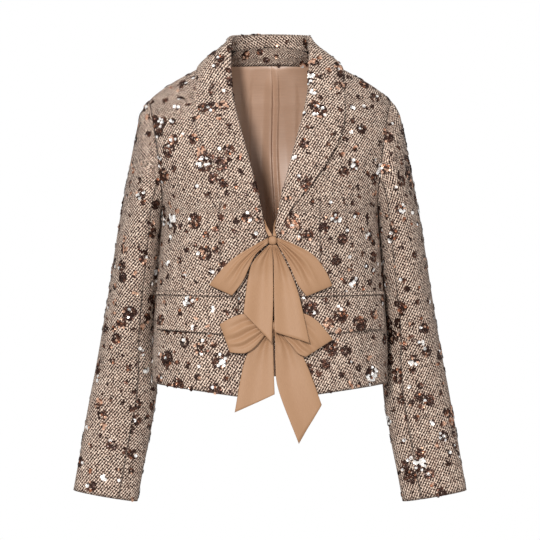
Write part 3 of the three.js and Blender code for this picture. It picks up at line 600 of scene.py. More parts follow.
def armhole_point(angle):
    z, reach = armhole(angle)
    front, behind = (body_point(turn_at_y(z, face, reach), z, face) for face in (-1, 1))
    p = np.where((np.sin(angle) >= 0)[..., None], front, behind)
    return np.stack([-p[..., 0] + SLEEVE_GAP, p[..., 1], p[..., 2]], -1)


def sleeve_ring(angle, at):
    value = row_values(SLEEVE, at)
    nothing = 0 * value["outX"]
    out = np.stack([value["outX"], nothing, value["outZ"]], -1)
    inside = np.stack([value["inX"], nothing, value["inZ"]], -1)
    oval = (out + inside) / 2 + (out - inside) / 2 * np.cos(angle)[..., None]
    oval[..., 1] = value["midY"] - value["depth"] * np.sin(angle)
    egg = armhole_point(angle)
    share = (np.cos(angle) + 1) / 2
    foot, head = armhole_point(np.array(math.pi)), armhole_point(np.array(0.0))
    egg[..., 0] += (inside[..., 0] - foot[0]) * (1 - share) + (out[..., 0] - head[0]) * share
    egg[..., 2] += (inside[..., 2] - foot[2]) * (1 - share) + (out[..., 2] - head[2]) * share
    egg[..., 1] = egg[..., 1] * value["depth"] / ARMHOLE_DEPTH + value["midY"]
    round_ = np.clip(value["round"], 0, 1)[..., None]
    return np.where(round_ >= 1, oval, egg + (oval - egg) * round_)


def sleeve_point(angle, station):
    ring = sleeve_ring(angle, np.maximum(station - 1, 0))
    low = np.clip(station, 0, 1)[..., None]
    return np.where(low < 1, armhole_point(angle) * (1 - low) + sleeve_ring(angle, 0 * station) * low, ring)


# station, angle, slant, width in stations, width round in radians, height: the soft folds of a sleeve
SLEEVE_FOLDS = [
    (2.6, 1.2, 0.8, 0.5, 0.9, 1.6), (3.8, 1.9, 1.0, 0.45, 0.8, 2.0), (5.2, 2.2, 0.9, 0.5, 0.8, -1.8),
    (8.2, 1.6, -1.1, 0.42, 0.7, 1.9), (9.3, 1.9, -1.2, 0.36, 0.75, -1.8),
    (10.1, 1.5, -1.0, 0.4, 0.8, 2.1), (11.2, 2.1, 0.9, 0.42, 0.6, -1.6), (12.3, 0.9, 0.7, 0.5, 0.8, 1.3),
    (6.6, 4.6, 1.0, 0.6, 0.9, 2.2), (9.6, 4.4, 1.1, 0.5, 0.8, 2.4), (10.8, 4.8, -1.0, 0.5, 0.7, -2.0),
    (3.2, 4.9, -0.8, 0.6, 0.8, 2.0), (13.3, 3.2, 0.6, 0.6, 0.9, 1.2),
]


def sleeve_lengths(surface, way):
    """Lengths on the flat sleeve: up along its axis, and round it from the middle of the panel."""
    stations = np.linspace(0, 14, 29)
    value = row_values(SLEEVE, stations)
    middle_x, middle_z = (value["outX"] + value["inX"]) / 2, (value["outZ"] + value["inZ"]) / 2
    centres = np.stack([middle_x, value["midY"], middle_z], -1)
    axis = unit(centres[0] - centres[-1])
    out = unit(np.array([1.0, 0, 0]) - axis[0] * axis)
    front = np.cross(axis, out)
    height, heights = surface @ axis, centres @ axis
    order = np.argsort(heights)
    centre = np.stack([np.interp(height, heights[order], centres[order, k]) for k in range(3)], -1)
    wide = np.interp(height, heights[order], ((value["outX"] - value["inX"]) / 2)[order])
    deep = np.interp(height, heights[order], value["depth"][order])
    away = surface - centre
    turn = np.arctan2((away @ front) / deep * way, (away @ out) / wide * way)
    parts = 16
    arc = 0
    for k in range(parts):
        at = turn * (k + 0.5) / parts
        arc = arc + np.hypot(wide * np.sin(at), deep * np.cos(at))
    return np.stack([arc * turn / parts, height], -1)


def sleeve_piece(name, low, high, columns, mirror, shift):
    stations = rows_between(0, SLEEVE_END, 0.16, 0.5, 1, 2)
    angle, station = np.meshgrid(np.linspace(low, high, columns + 1), stations)
    surface = sleeve_point(angle, station)
    round_ = sleeve_point(angle + 0.01, station) - sleeve_point(angle - 0.01, station)
    lower, higher = np.minimum(station + 0.04, SLEEVE_END), np.maximum(station - 0.04, 0)
    down = sleeve_point(angle, lower) - sleeve_point(angle, higher)
    normal = unit(np.cross(round_, down))
    sign = np.sign(((surface - surface.mean(1, keepdims=True)) * normal).sum(-1).mean())
    normal *= sign
    lift = np.zeros(angle.shape)
    for k, (s0, a0, slant, wide, around, tall) in enumerate(SLEEVE_FOLDS):
        s0 = s0 + shift * ((k * 29) % 7 - 3)
        away = (station - s0 - slant * (angle - a0) * 0.6) / wide
        lift += tall * np.exp(-(away**2) - ((angle - a0) / around) ** 2)
    lift *= smooth((station - 0.9) / 1.2) * smooth((SLEEVE_END - station) / 0.8)
    clear = np.where((surface[..., 0] < 200) & (surface[..., 2] > -540), 0.35, 1.0)
    lift = lift * clear
    uv = sleeve_lengths(surface, 1 if low < 0 else -1)
    return wall(name, surface + normal * lift[..., None], surface + normal * (lift - TWEED)[..., None],
                [tweed, lining], uv, mirror)


for side, mirror, shift in (("left", False, 0.05), ("right", True, -0.06)):
    half_upper = SLEEVE_SEAM - HALF_SEAM
    upper = sleeve_piece(f"sleeve_upper_{side}_cloth", -half_upper, half_upper, 60, mirror, shift)
    first, last = SLEEVE_SEAM + HALF_SEAM, 2 * math.pi - SLEEVE_SEAM - HALF_SEAM
    under = sleeve_piece(f"sleeve_under_{side}_cloth", first, last, 30, mirror, shift)
    declare(upper, [f"sleeve_upper_{side}"])
    declare(under, [f"sleeve_under_{side}"])

# The shawl collar
# Collar and lapel in one, cut double and seamed at the centre back. It stands up round the neck, rolls over
# and lies on the fronts as a wide lapel that runs down to the upper bow.

COLLAR_CLOTH = 2.5
# the roll line, the way in which the fall leaves it, the outer edge, which side of the body that lies on and
# how far off, the length that turns inside, and the radius of the fold
COLLAR_NAMES = ("rollX", "rollY", "rollZ", "openX", "openZ", "edgeX", "edgeZ", "face", "off", "leg", "fold")
COLLAR = [dict(zip(COLLAR_NAMES, row)) for row in (
    (2.6, None, -288, 1, 0, 8.5, -287, -1, 3.4, 6, 4.3),
    (8.6, None, -268, 1, 0, 21, -264, -1, 3.6, 7, 4.3),
    (14.2, None, -238, 1, 0, 39, -236, -1, 4.2, 8, 4.3),
    (22.4, None, -204, 1, 0, 64, -206, -1, 4.9, 9, 4.3),
    (31.2, None, -170, 1, 0, 87, -172, -1, 5.9, 10, 4.3),
    (39.4, None, -139, 1, 0, 102, -142, -1, 6.4, 10, 4.6),
    (47.2, None, -111, 1, 0, 110, -118, -1, 6.4, 11, 4.8),
    (53.4, None, -84, 1, 0, 112, -95, -1, 5.9, 12, 5),
    (57.6, None, -59, 1, -0.15, 112, -72, -1, 5.4, 13, 5),
    (59.6, -30, -24, 1, -0.5, 112, -50, -1, 4.9, 14, 5),
    (60.3, -13, 6, 0.75, -1, 112, -33, -1, 4.9, 16, 4.6),
    (60.6, 6, 22, 0.35, -1, 108, -24, 1, 4.9, 20, 4.3),
    (58.5, 27, 27.5, 0.2, -1, 99, -22, 1, 5.4, 24, 4.3), (49, 47, 30, 0.14, -1, 80, -20, 1, 5.9, 24, 4.3),
    (28, 63.5, 32, 0.07, -1, 44, -19, 1, 6.4, 21, 4.3),
    (0.2, 68.5, 33, 0, -1, 0.2, -18, 1, 6.4, 20.3, 4.3),
)]
LEG_POINTS, FOLD_POINTS, FALL_POINTS = 4, 8, 16


def roll_point(row, flip=1):
    if row["rollY"] is None:
        return face_point(row["rollX"], row["rollZ"], -1)
    return np.array([row["rollX"] * flip, row["rollY"], row["rollZ"]], float)


def section_steps(row):
    """The leg and the fold of one section: how far along the cloth lies, and how far out."""
    leg, fold = row["leg"], row["fold"]
    steps = [(leg + (fold - leg) * i / LEG_POINTS, -fold) for i in range(LEG_POINTS)]
    for i in range(FOLD_POINTS + 1):
        bend = math.pi * i / FOLD_POINTS
        steps.append((fold * (1 - math.sin(bend)), -fold * math.cos(bend)))
    return steps


def collar_section(row, before, after):
    """One section of the collar, from the end of its leg over the roll to its outer edge."""
    steps = section_steps(row)
    if row["rollY"] is None:
        fold = row["fold"]
        reach = math.hypot(row["edgeX"] - row["rollX"], row["edgeZ"] - row["rollZ"])
        steps = [(a, lift - 1) for a, lift in steps]
        for i in range(1, FALL_POINTS + 1):
            t = i / FALL_POINTS
            swell = 1.6 * math.sin(math.pi * t) ** 2 + 3.4 * float(smooth((t - 0.45) / 0.55))
            lift = (fold - 1) * (1 - t) + row["off"] * t + swell * min(reach / 60, 1) ** 2
            steps.append((fold + (reach - fold) * t, lift))
        a, lift = np.array(steps).T
        share = a / reach
        x = row["rollX"] + (row["edgeX"] - row["rollX"]) * share
        z = row["rollZ"] + (row["edgeZ"] - row["rollZ"]) * share
        return face_point(x, z, lift)
    roll = roll_point(row)
    tangent = unit(roll_point(*after) - roll_point(before))
    out = unit(np.cross(unit(np.array([row["openX"], 0, row["openZ"]], float)), tangent))
    opening = unit(np.cross(tangent, out))
    points = [roll + opening * a + out * lift for a, lift in steps]
    start = points[-1]
    end = face_point(row["edgeX"], row["edgeZ"], row["off"], row["face"])
    length = np.linalg.norm(end - start)
    one = start + opening * length * 0.3 + out * length * 0.06
    two = end + np.array([-end[0] * 0.1, -end[1] * 0.05, length * 0.25])
    for i in range(1, FALL_POINTS + 1):
        t = i / FALL_POINTS
        near, far = (1 - t) ** 3 * start + 3 * (1 - t) ** 2 * t * one, 3 * (1 - t) * t * t * two + t**3 * end
        points.append(near + far)
    return np.array(points)


def smooth_rows(grid, parts):
    """More rows between those of a grid, on smooth curves through them."""
    table = {"index": list(range(len(grid)))}
    at = np.linspace(0, len(grid) - 1, (len(grid) - 1) * parts + 1)
    flat = grid.reshape(len(grid), -1)
    out = []
    for k in range(flat.shape[1]):
        table["value"] = flat[:, k]
        out.append(between(table, "value", at, "index"))
    return np.array(out).T.reshape(len(at), *grid.shape[1:])


def fan_lengths(grid, roll):
    """Lengths on the flat collar: its fall fans out from the roll line and its stand is straight."""
    across = cloth_lengths(grid)[..., 0]
    across -= across[:, [roll]]
    line = unit(grid[:, -1] - grid[:, roll])
    line = unit(line[:-1] + line[1:])
    steps = [np.diff(grid[:, k], axis=0) for k in (roll, -1)]
    slides = [(d * line).sum(-1) for d in steps]
    near, far = [np.sqrt(np.maximum((d * d).sum(-1) - s * s, 0)) for d, s in zip(steps, slides)]
    turn = np.concatenate([[0], np.cumsum((far - near) / ((across[:-1, -1] + across[1:, -1]) / 2))])
    middle = (turn[:-1] + turn[1:]) / 2
    cos, sin = np.cos(middle), np.sin(middle)
    moved = np.stack([slides[0] * cos - near * sin, slides[0] * sin + near * cos], -1)
    start = np.concatenate([[[0, 0]], np.cumsum(moved, 0)])
    uv = start[:, None] + across[..., None] * np.stack([np.cos(turn), np.sin(turn)], -1)[:, None]
    stand = roll - 2
    along = np.concatenate([[0], np.cumsum(np.linalg.norm(steps[0], axis=-1))])
    rows = np.broadcast_to(along[:, None], across[:, :stand].shape)
    uv[:, :stand] = np.stack([across[:, :stand], rows], -1)
    return uv


def collar_half(name, mirror):
    last = len(COLLAR) - 1
    sections = [collar_section(row, COLLAR[k - 1], (COLLAR[k + 1], 1) if k < last else (COLLAR[k - 1], -1))
                for k, row in enumerate(COLLAR)]
    grid = smooth_rows(np.array(sections), 6)
    back_side = grid + grid_normals(grid) * COLLAR_CLOTH
    for rows in (grid, back_side):
        rows[-1, :, 0] = 0.2
    uv = fan_lengths(grid, LEG_POINTS + FOLD_POINTS // 2)
    return wall(name, grid, back_side, [tweed], uv, mirror, edge=0.7, sewn=0.0)


for side, mirror in (("left", False), ("right", True)):
    collar = collar_half(f"collar_{side}_cloth", mirror)
    declare(collar, [f"collar_{side}"])

# The pockets
# A level flap with softly rounded corners on each front, cut from the same tweed, under a narrow welt that
# binds the pocket's mouth.

POCKET_INNER_X, POCKET_OUTER_X = 48, 172
FLAP_TOP, FLAP_CORNER, FLAP_FOOT = -376, -419, -428
FLAP_CLOTH, WELT_CLOTH = 1.9, 1.3
WELT_TOP, WELT_FOOT = -370, -375.7
# how far the welt lies out, from its top to its foot
WELT_LIFTS = np.array([1.9, 2.7, 3.5, 4.1, 4.3])


def on_front(name, inner, outer, heights, lift, thickness, mirror):
    t = np.linspace(0, 1, 45)
    x = inner[:, None] + (outer - inner)[:, None] * (0.35 * t + 0.65 * np.sin(t * math.pi / 2))
    z = np.broadcast_to(heights[:, None], x.shape)
    grid = lifted(turn_at_x(z, -1, x), z, -1, np.broadcast_to(lift[:, None], x.shape))
    return cloth(name, grid, thickness, 1, [tweed], cloth_lengths(grid, inner), mirror)


for side, mirror in (("right", False), ("left", True)):
    straight, round_ = np.linspace(FLAP_TOP, FLAP_CORNER, 14), np.linspace(FLAP_CORNER - 1.5, FLAP_FOOT, 7)
    heights = np.concatenate([straight, round_])
    corner = 8.5 * np.clip((FLAP_CORNER - heights) / 9, 0, 1) ** 2.2
    lift = 2.6 + 3.4 * ((FLAP_TOP - heights) / (FLAP_TOP - FLAP_FOOT)) ** 1.8
    inner, outer = POCKET_INNER_X + corner, POCKET_OUTER_X - corner * 0.4
    flap = on_front(f"pocket_flap_{side}_cloth", inner, outer, heights, lift, FLAP_CLOTH, mirror)
    declare(flap, [f"pocket_flap_{side}"])
    heights = np.linspace(WELT_TOP, WELT_FOOT, len(WELT_LIFTS))
    inner, outer = np.full(len(heights), POCKET_INNER_X - 2.0), np.full(len(heights), POCKET_OUTER_X + 0.6)
    welt = on_front(f"pocket_welt_{side}_cloth", inner, outer, heights, WELT_LIFTS, WELT_CLOTH, mirror)
    declare(welt, [f"pocket_welt_{side}"])

# The ribbon bows
# Two bows of wide satin ribbon close the front. The ribbon ends are sewn into the front edges, crossed and
# tied, so that each bow has a tight knot, two soft loops and two slanted tails.

satin = satin_material(
    "ribbon_satin",
    {"Roughness": 0.58, "Specular IOR Level": 0.35, "Sheen Weight": 0.04, "Sheen Roughness": 0.4},
    (2.2, 0.12, 1), 1.0, 3, (0.268, 0.143, 0.074), (0.368, 0.209, 0.114), 0.18, 0.0003,
)
RIBBON = 0.9
LOOP_REST, LOOP_KNOT_DEPTH, LOOP_DEPTH = 10.5, 1.6, 6
KNOT_SHARE = 0.93
# A knot has its x, z and lift, and half its width, height and depth. A row of a ribbon has x and z of its two
# edges, and of a tail or a tie also its lift off the front.
BOWS = {
    "upper": {
        "knot": (3.9, -293, 10, 7.2, 7.2, 6.4),
        "loops": {
            "right": ((-3.1, -289, -3.1, -297), (-22.5, -299.5, -20.9, -314), (-51.9, -318.5, -31, -334),
                      (-73.6, -341, -41, -356), (-89, -361, -56, -376.7)),
            "left": ((10.9, -289, 10.9, -297), (37, -299.5, 24, -320), (62.8, -315, 33.3, -341),
                     (81, -340, 42, -361), (91, -362, 54, -378)),
        },
        "tails": {
            "right": ((-1.6, -299.6, 3.6, -300.1, 10.4), (-25, -325, 4.0, -322, 7.5),
                      (-32, -348, 4.5, -348, 7), (-35, -371, 4.8, -384, 13), (-38, -403, 2.6, -449, 20.5)),
            "left": ((4.2, -300.1, 9.4, -299.6, 10.4), (5.6, -322, 24, -328, 7.5), (6.0, -348, 35, -352, 7),
                     (6.3, -384, 44, -384, 15), (7, -432, 57, -449, 20.5)),
        },
        "ties": {
            "right": ((-9, -262, -7.7, -269.5, -0.6), (-5, -271, -6.6, -277, 5.6),
                      (3.4, -285.4, -2, -286.4, 10.4)),
            "left": ((9, -262, 7.7, -269.5, -0.6), (6.2, -271, 7.4, -277, 5.6),
                     (4.4, -285.4, 9.8, -286.4, 10.4)),
        },
    },
    "lower": {
        "knot": (7, -423, 10, 7, 7, 6.2),
        "loops": {
            "right": ((0.2, -419, 0.2, -427), (-17.8, -408.5, -11.6, -442), (-38, -404.6, -24, -456),
                      (-58, -411.5, -38, -464), (-74, -421, -59, -463)),
            "left": ((13.8, -419, 13.8, -427), (32, -405.5, 24, -443), (50.4, -404.6, 34, -455),
                     (70, -417, 42, -465), (92, -444, 53, -470)),
        },
        "tails": {
            "right": ((1.6, -429.4, 6.7, -429.9, 9.4), (-24, -450, 4.6, -447, 3.7), (-37, -474, 5, -474, 4.6),
                      (-44, -505, 5.8, -498, 6.5), (-52, -553, 7, -526, 8.5)),
            "left": ((7.3, -429.9, 12.4, -429.4, 9.4), (8, -452, 40, -453, 3.7), (8.4, -480, 54, -480, 5),
                     (13, -520, 64, -506, 7.5), (42.6, -600, 76, -542, 9.5)),
        },
        "ties": {
            "right": ((-5, -403, -5, -411, 1.35), (-1, -408, -2, -414, 4), (6.5, -415.5, 1.6, -416.4, 10.4)),
            "left": ((5, -401, 7, -409, 1.35), (8, -407, 12, -411, 4), (7.5, -415.5, 12.4, -416.4, 10.4)),
        },
    },
}


def across_rows(table, at, t):
    """x, z and lift of a ribbon at a place between its rows and a share t of its width."""
    named = dict(zip(("ax", "az", "bx", "bz", "lift"), zip(*table)))
    named["index"] = list(range(len(table)))
    value = row_values(named, at)
    x = value["ax"] + (value["bx"] - value["ax"]) * t
    z = value["az"] + (value["bz"] - value["az"]) * t
    return x, z, value.get("lift")


def ribbon(name, grid):
    side = -1 if np.cross(grid[1, 0] - grid[0, 0], grid[0, -1] - grid[0, 0])[1] < 0 else 1
    return cloth(name, grid, RIBBON, side, [satin], cloth_lengths(grid), edge=0.2)


# where a crease starts across the ribbon, slant, width, height and how far along the loop it runs
CREASES = {
    "upper": ((0.3, 0.12, 0.075, 2.2, 0.95), (0.46, 0.16, 0.06, -2.2, 0.8), (0.66, 0.1, 0.08, 2.2, 1.05),
              (0.84, -0.08, 0.06, -1.6, 0.7)),
    "lower": ((0.16, 0.1, 0.06, -2.2, 0.9), (0.3, 0.14, 0.07, 3.0, 1.1), (0.47, 0.12, 0.055, -3.2, 1.05),
              (0.63, 0.1, 0.06, 3.0, 1.15), (0.8, 0.02, 0.055, -3.0, 1.0)),
}


def bow_loop(name, table, seed, creases):
    v, t = np.meshgrid(np.linspace(0, 1, 73), np.linspace(0, 1, 37), indexing="ij")
    out = np.sin(math.pi * v)
    x, z, _ = across_rows(table, out * (len(table) - 1), t)
    depth = LOOP_KNOT_DEPTH + LOOP_DEPTH * out**2
    gather = np.exp(-((out / 0.6) ** 2)) * smooth(out / 0.08)
    pleats = gather * np.cos(t * math.pi * 5.2 + seed)
    pleats += 0.8 * out * np.sin(t * 5 + seed * 2 + out * 2.5)
    for middle, slant, wide, high, far in creases:
        along = smooth(out / 0.12) * smooth((far + 0.12 * math.sin(seed * 3) - out) / 0.35)
        across = (t - middle - 0.05 * math.sin(seed * 5) - slant * out) / wide
        pleats += high * along * np.exp(-(across**2))
    return ribbon(name, face_point(x, z, LOOP_REST + (depth + pleats) * np.cos(math.pi * v)))


def bow_strip(name, table, waves, seed=0.0):
    r, t = np.meshgrid(np.linspace(0, 1, 49), np.linspace(0, 1, 31), indexing="ij")
    x, z, lift = across_rows(table, r * (len(table) - 1), t)
    wave = waves * np.sin(t * math.pi * 2.2 + 0.6 + seed * 0.4 + r * 0.7) * smooth(r / 0.35)
    gather = waves * 0.8 * np.exp(-((r / 0.4) ** 2)) * smooth(r / 0.05) * np.cos(t * math.pi * 5 + seed)
    return ribbon(name, face_point(x, z, lift + wave + gather))


def bow_knot(name, x, z, lift, wide, high, deep):
    """The ribbon's wrap, gathered into upright folds."""
    centre = face_point(x, z, lift)
    heights = np.linspace(-math.pi / 2, math.pi / 2, 25)[1:-1]
    across, up = np.meshgrid(np.linspace(0, 2 * math.pi, 49), heights)

    def square(value):
        return np.sign(value) * np.abs(value) ** 0.82

    folds = 1 - 0.05 * (0.5 + 0.5 * np.cos(across * 9 + up * 1.5))
    x = wide * square(np.cos(up) * np.cos(across)) * folds
    y = deep * square(np.cos(up) * np.sin(across)) * folds
    p = np.stack([x, y, high * square(np.sin(up))], -1) * KNOT_SHARE + centre
    mesh = bpy.data.meshes.new(name)
    work = bmesh.new()
    ids = [[work.verts.new(q * 0.001) for q in row[:-1]] for row in p]
    ends = [work.verts.new((centre + [0, 0, s * high * KNOT_SHARE]) * 0.001) for s in (-1, 1)]
    n = len(ids[0])
    for a, b in zip(ids, ids[1:]):
        for k in range(n):
            work.faces.new((a[k], a[(k + 1) % n], b[(k + 1) % n], b[k]))
    for k in range(n):
        work.faces.new((ids[0][(k + 1) % n], ids[0][k], ends[0]))
        work.faces.new((ids[-1][k], ids[-1][(k + 1) % n], ends[1]))
    layer = work.loops.layers.uv.new("cloth_mm")
    for f in work.faces:
        for loop in f.loops:
            loop[layer].uv = (loop.vert.co.x * 1000, loop.vert.co.z * 1000)
    bmesh.ops.recalc_face_normals(work, faces=work.faces)
    work.to_mesh(mesh)
    work.free()
    mesh.materials.append(satin)
    mesh.shade_smooth()
    return placed(name, mesh)


for place, bow in BOWS.items():
    knot = bow_knot(f"bow_{place}_knot_satin", *bow["knot"])
    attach(knot, "root")
    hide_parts(f"bow_{place}_knot")
    for seed, side in enumerate(("right", "left")):
        loop = bow_loop(f"bow_{place}_loop_{side}_satin", bow["loops"][side], seed * 1.7 + 5, CREASES[place])
        declare(loop, [f"bow_{place}_loop_{side}"])
        tail = bow_strip(f"bow_{place}_tail_{side}_satin", bow["tails"][side], 1.6, seed * 2.0)
        declare(tail, [f"bow_{place}_tail_{side}"])
        tie = bow_strip(f"bow_{place}_tie_{side}_satin", bow["ties"][side], 0.0)
        declare(tie, [f"bow_{place}_tie_{side}"])

# The sequins
# Small round cupped sequins in bronze, copper, rose and silver, each sewn on by its middle. The near-white
# silver ones, drawn a little larger, also stand in for glints as painted highlights. They lie in loose groups
# of a few and in round rosettes, all over the tweed.

SEQUIN_RADIUS, SEQUIN_REST = 2.2, 0.45
# dark bronze, bronze, rose, copper and silver, whose near-white tint also paints glints
SEQUIN_TINTS = ((0.032, 0.013, 0.009), (0.088, 0.036, 0.022), (0.60, 0.36, 0.25), (0.27, 0.105, 0.055),
                (0.95, 0.92, 0.89))
# how often each tint comes in a group of each kind: bronze, rose, silver, mixed; the silver groups also paint
# clusters of glints
GROUP_MIXES = ((0.62, 0.26, 0.03, 0.06, 0.03), (0.1, 0.18, 0.58, 0.11, 0.03), (0.30, 0.12, 0.06, 0.02, 0.50),
               (0.40, 0.27, 0.16, 0.12, 0.05))
GROUP_SHARES = (0.45, 0.16, 0.15, 0.24)
# the cloth's area for each group in square mm, and the least distance between two groups
CLUSTER_AREA, CLUSTER_GAP = 590.0, 14.0
# radius and count of the rings in a small, a middling and a large rosette
ROSETTES = (((3.4, 6),), ((3.5, 6), (6.8, 12)), ((3.5, 6), (6.8, 12), (10.2, 17)))
LOOSE_SHARE, SMALL_SHARE, MIDDLING_SHARE = 0.52, 0.72, 0.94


def sequin_disc():
    """A shallow cup with a hole in its middle, 1 unit in radius."""
    mesh = bpy.data.meshes.new("sequin_disc")
    sides = 9
    rings = [[(r * math.cos(a), r * math.sin(a), h) for a in np.arange(sides) * 2 * math.pi / sides]
             for r, h in ((0.16, 0.02), (0.62, 0.0), (1.0, 0.16))]
    faces = []
    for inner in (0, sides):
        for k in range(sides):
            after = (k + 1) % sides
            faces.append((inner + k, inner + sides + k, inner + sides + after, inner + after))
    mesh.from_pydata([p for ring in rings for p in ring], [], faces)
    return placed("sequin_disc", mesh)


def sequin_material():
    material = bpy.data.materials.new("sequin_foil")
    material.use_nodes = True
    tree = material.node_tree
    shader = tree.nodes["Principled BSDF"]
    set_inputs(shader, {"Metallic": 0.5, "Roughness": 0.3, "Specular IOR Level": 0.25})
    set_inputs(shader, {"Coat Weight": 0.05, "Coat Roughness": 0.12})
    tint = tree.nodes.new("ShaderNodeAttribute")
    tint.attribute_name = "tint"
    tree.links.new(tint.outputs["Color"], shader.inputs["Base Color"])
    return material


def sequin_tree(material):
    """Sets a disc on each point, turned to the point's normal, and makes one mesh of them."""
    tree = bpy.data.node_groups.new("sewn_sequins", "GeometryNodeTree")
    tree.interface.new_socket("Geometry", in_out="INPUT", socket_type="NodeSocketGeometry")
    tree.interface.new_socket("Disc", in_out="INPUT", socket_type="NodeSocketObject")
    tree.interface.new_socket("Radius", in_out="INPUT", socket_type="NodeSocketFloat")
    tree.interface.new_socket("Geometry", in_out="OUTPUT", socket_type="NodeSocketGeometry")
    node, link = tree.nodes.new, tree.links.new
    start, end = node("NodeGroupInput"), node("NodeGroupOutput")

    def named(name, kind):
        n = node("GeometryNodeInputNamedAttribute")
        n.data_type = kind
        n.inputs["Name"].default_value = name
        return n.outputs["Attribute"]

    turn = node("FunctionNodeAlignRotationToVector")
    turn.axis = "Z"
    link(named("facing", "FLOAT_VECTOR"), turn.inputs["Vector"])
    disc = node("GeometryNodeObjectInfo")
    disc.inputs["As Instance"].default_value = True
    link(start.outputs["Disc"], disc.inputs["Object"])
    size = maths(tree, "MULTIPLY", start.outputs["Radius"], named("size", "FLOAT"))
    place = node("GeometryNodeInstanceOnPoints")
    link(start.outputs["Geometry"], place.inputs["Points"])
    link(disc.outputs["Geometry"], place.inputs["Instance"])
    link(turn.outputs["Rotation"], place.inputs["Rotation"])
    link(size, place.inputs["Scale"])
    real = node("GeometryNodeRealizeInstances")
    paint = node("GeometryNodeSetMaterial")
    paint.inputs["Material"].default_value = material
    link(place.outputs["Instances"], real.inputs["Geometry"])
    link(real.outputs["Geometry"], paint.inputs["Geometry"])
    link(paint.outputs["Geometry"], end.inputs["Geometry"])
    return tree


def group_places(draw):
    """Where the sequins of one group lie round its middle, in mm."""
    kind = draw.random()
    if kind < LOOSE_SHARE:
        places = [np.zeros(2)]
        for _ in range(draw.integers(0, 5)):
            angle = draw.random() * 2 * math.pi
            beside = places[draw.integers(len(places))]
            places.append(beside + 3.5 * np.array([math.cos(angle), math.sin(angle)]))
        return places
    rings = ROSETTES[(kind >= SMALL_SHARE) + (kind >= MIDDLING_SHARE)]
    places = [np.zeros(2)] if draw.random() < 0.6 else []
    for radius, count in rings:
        first = draw.random() * 6.3
        for k in range(count):
            if draw.random() < 0.82:
                angle = first + 2 * math.pi * k / count
                places.append((radius + draw.normal(0, 0.35)) * np.array([math.cos(angle), math.sin(angle)]))
    return places


def outer_values(mesh, count, name, size):
    """One value of each of the first faces of a mesh, which are its outer ones."""
    values = np.empty(len(mesh.polygons) * size)
    mesh.polygons.foreach_get(name, values)
    return values.reshape(-1, size)[:count]


def sew_sequins(piece, seed, tree, disc):
    draw = np.random.default_rng(seed)
    mesh = piece.data
    count = outer_faces[piece.name]
    centres = outer_values(mesh, count, "center", 3) * 1000
    normals = outer_values(mesh, count, "normal", 3)
    areas = outer_values(mesh, count, "area", 1)[:, 0] * 1e6
    points = [v.co * 1000 for v in mesh.vertices]
    surface = BVHTree.FromPolygons(points, [tuple(p.vertices) for p in mesh.polygons[:count]])
    wanted = int(areas.sum() / CLUSTER_AREA)
    chosen = []
    for face in draw.choice(count, wanted * 12, p=areas / areas.sum()):
        if len(chosen) == wanted:
            break
        if all(np.sum((centres[face] - centres[c]) ** 2) > CLUSTER_GAP**2 for c in chosen):
            chosen.append(face)
    where, facing, sizes, tints = [], [], [], []
    for face in chosen:
        mix = GROUP_MIXES[draw.choice(len(GROUP_MIXES), p=GROUP_SHARES)]
        normal = normals[face]
        lean = draw.random() * 2 * math.pi
        right = unit(np.cross(normal, [0.31, 0.17, 0.94]))
        up = np.cross(normal, right)
        for a, b in group_places(draw):
            aim = Vector(centres[face] + right * a + up * b)
            spot, out, _, away = surface.find_nearest(aim)
            tint = SEQUIN_TINTS[draw.choice(len(SEQUIN_TINTS), p=mix)]
            shaded = math.hypot(a, b) > 3 and (a * math.cos(lean) + b * math.sin(lean)) < 0
            if shaded and draw.random() < 0.7:
                tint = SEQUIN_TINTS[0 if draw.random() < 0.6 else 1]
            tilt, size, shade = draw.normal(0, 0.13, 3), draw.uniform(0.88, 1.18), draw.uniform(0.8, 1.15)
            # painted highlight: silver sequins are drawn larger, so that their near-white tint reads as
            # bigger glints
            size *= 1.2 if tint == SEQUIN_TINTS[4] else 1.0
            if away > 2.2 or (spot - aim).cross(out).length > 0.5:
                continue
            where.append((spot + out * SEQUIN_REST) * 0.001)
            facing.append(unit(np.array(out) + tilt))
            sizes.append(size)
            tints.append((*np.clip(np.array(tint) * shade, 0, 1), 1))
    dots = bpy.data.meshes.new("sequin_places")
    dots.from_pydata(where, [], [])
    layers = (("facing", "FLOAT_VECTOR", "vector", facing), ("size", "FLOAT", "value", sizes),
              ("tint", "FLOAT_COLOR", "color", tints))
    for name, kind, key, values in layers:
        layer = dots.attributes.new(name, kind, "POINT")
        layer.data.foreach_set(key, np.array(values, np.float32).reshape(-1))
    holder = placed("sequin_places", dots)
    modifier = holder.modifiers.new("sequins", "NODES")
    modifier.node_group = tree
    sockets = {item.name: item.identifier for item in tree.interface.items_tree if item.in_out == "INPUT"}
    modifier[sockets["Disc"]] = disc
    modifier[sockets["Radius"]] = SEQUIN_RADIUS * 0.001
    bpy.context.view_layer.update()
    made = bpy.data.meshes.new_from_object(holder.evaluated_get(bpy.context.evaluated_depsgraph_get()))
    bpy.data.objects.remove(holder)
    made.name = piece.name.replace("_cloth", "_sequins")
    sequins = placed(made.name, made)
    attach(sequins, "root")


disc = sequin_disc()
tree = sequin_tree(sequin_material())
tweed_names = sorted(name for name in outer_faces if name.endswith("_cloth") and "lining" not in name)
for seed, name in enumerate(tweed_names):
    if "welt" not in name:
        sew_sequins(scene.objects[name], 70 + seed, tree, disc)
bpy.data.objects.remove(disc)

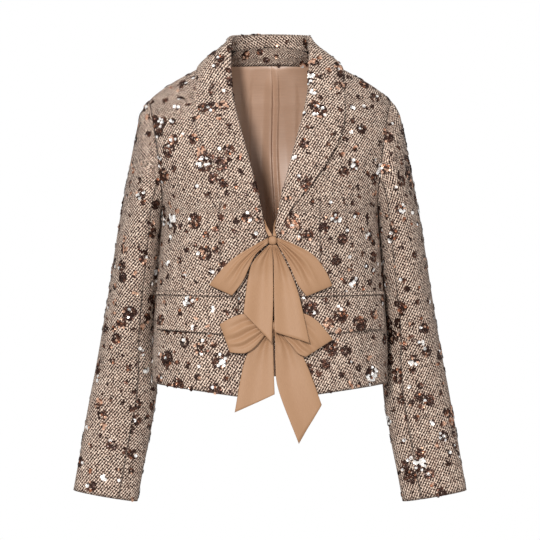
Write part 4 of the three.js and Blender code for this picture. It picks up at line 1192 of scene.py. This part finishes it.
# The stage: plain white all round, a key light from the upper left, a weaker fill and two soft lights
# that reach the shoulders and the back.


def area_light(name, place, target, size, power, colour):
    data = bpy.data.lights.new(name, "AREA")
    data.shape, data.size, data.energy, data.color = "DISK", size, power, colour
    light = placed(name, data)
    light.location = place
    light.rotation_euler = (Vector(target) - Vector(place)).to_track_quat("-Z", "Y").to_euler()


area_light("key", (-0.82, -4.18, 0.85), (0, 0, -0.3), 0.5, 176, (1.0, 0.985, 0.965))
area_light("fill", (1.3, -3.8, -0.3), (0, 0, -0.35), 1.2, 28, (1.0, 0.985, 0.97))
area_light("top", (-0.6, -0.6, 2.3), (0, 0, -0.3), 1.0, 12, (1.0, 1.0, 1.0))
area_light("rear", (0.5, 4.2, 0.5), (0, 0, -0.3), 1.2, 70, (1.0, 0.985, 0.97))

world = bpy.data.worlds.new("studio")
scene.world = world
world.use_nodes = True
room = world.node_tree.nodes["Background"]
set_inputs(room, {"Color": (1, 1, 1, 1), "Strength": 0.5})
backdrop = world.node_tree.nodes.new("ShaderNodeBackground")
set_inputs(backdrop, {"Color": (1, 1, 1, 1), "Strength": 1.0})
seen = world.node_tree.nodes.new("ShaderNodeLightPath")
choice = world.node_tree.nodes.new("ShaderNodeMixShader")
world.node_tree.links.new(seen.outputs["Is Camera Ray"], choice.inputs["Fac"])
world.node_tree.links.new(room.outputs["Background"], choice.inputs[1])
world.node_tree.links.new(backdrop.outputs["Background"], choice.inputs[2])
world.node_tree.links.new(choice.outputs["Shader"], world.node_tree.nodes["World Output"].inputs["Surface"])

# how far off and how high the camera stands, and the width that it sees at the garment, in metres
CAMERA_AWAY, CAMERA_HEIGHT, SEEN_WIDTH = 4.6, -0.338, 0.837
camera_data = bpy.data.cameras.new("camera")
camera_data.lens = 36 * CAMERA_AWAY / SEEN_WIDTH
camera = placed("camera", camera_data)
camera.location = (0.0, -CAMERA_AWAY, CAMERA_HEIGHT)
camera.rotation_euler = (math.radians(90), 0, 0)
scene.camera = camera
scene.view_settings.view_transform = "Standard"
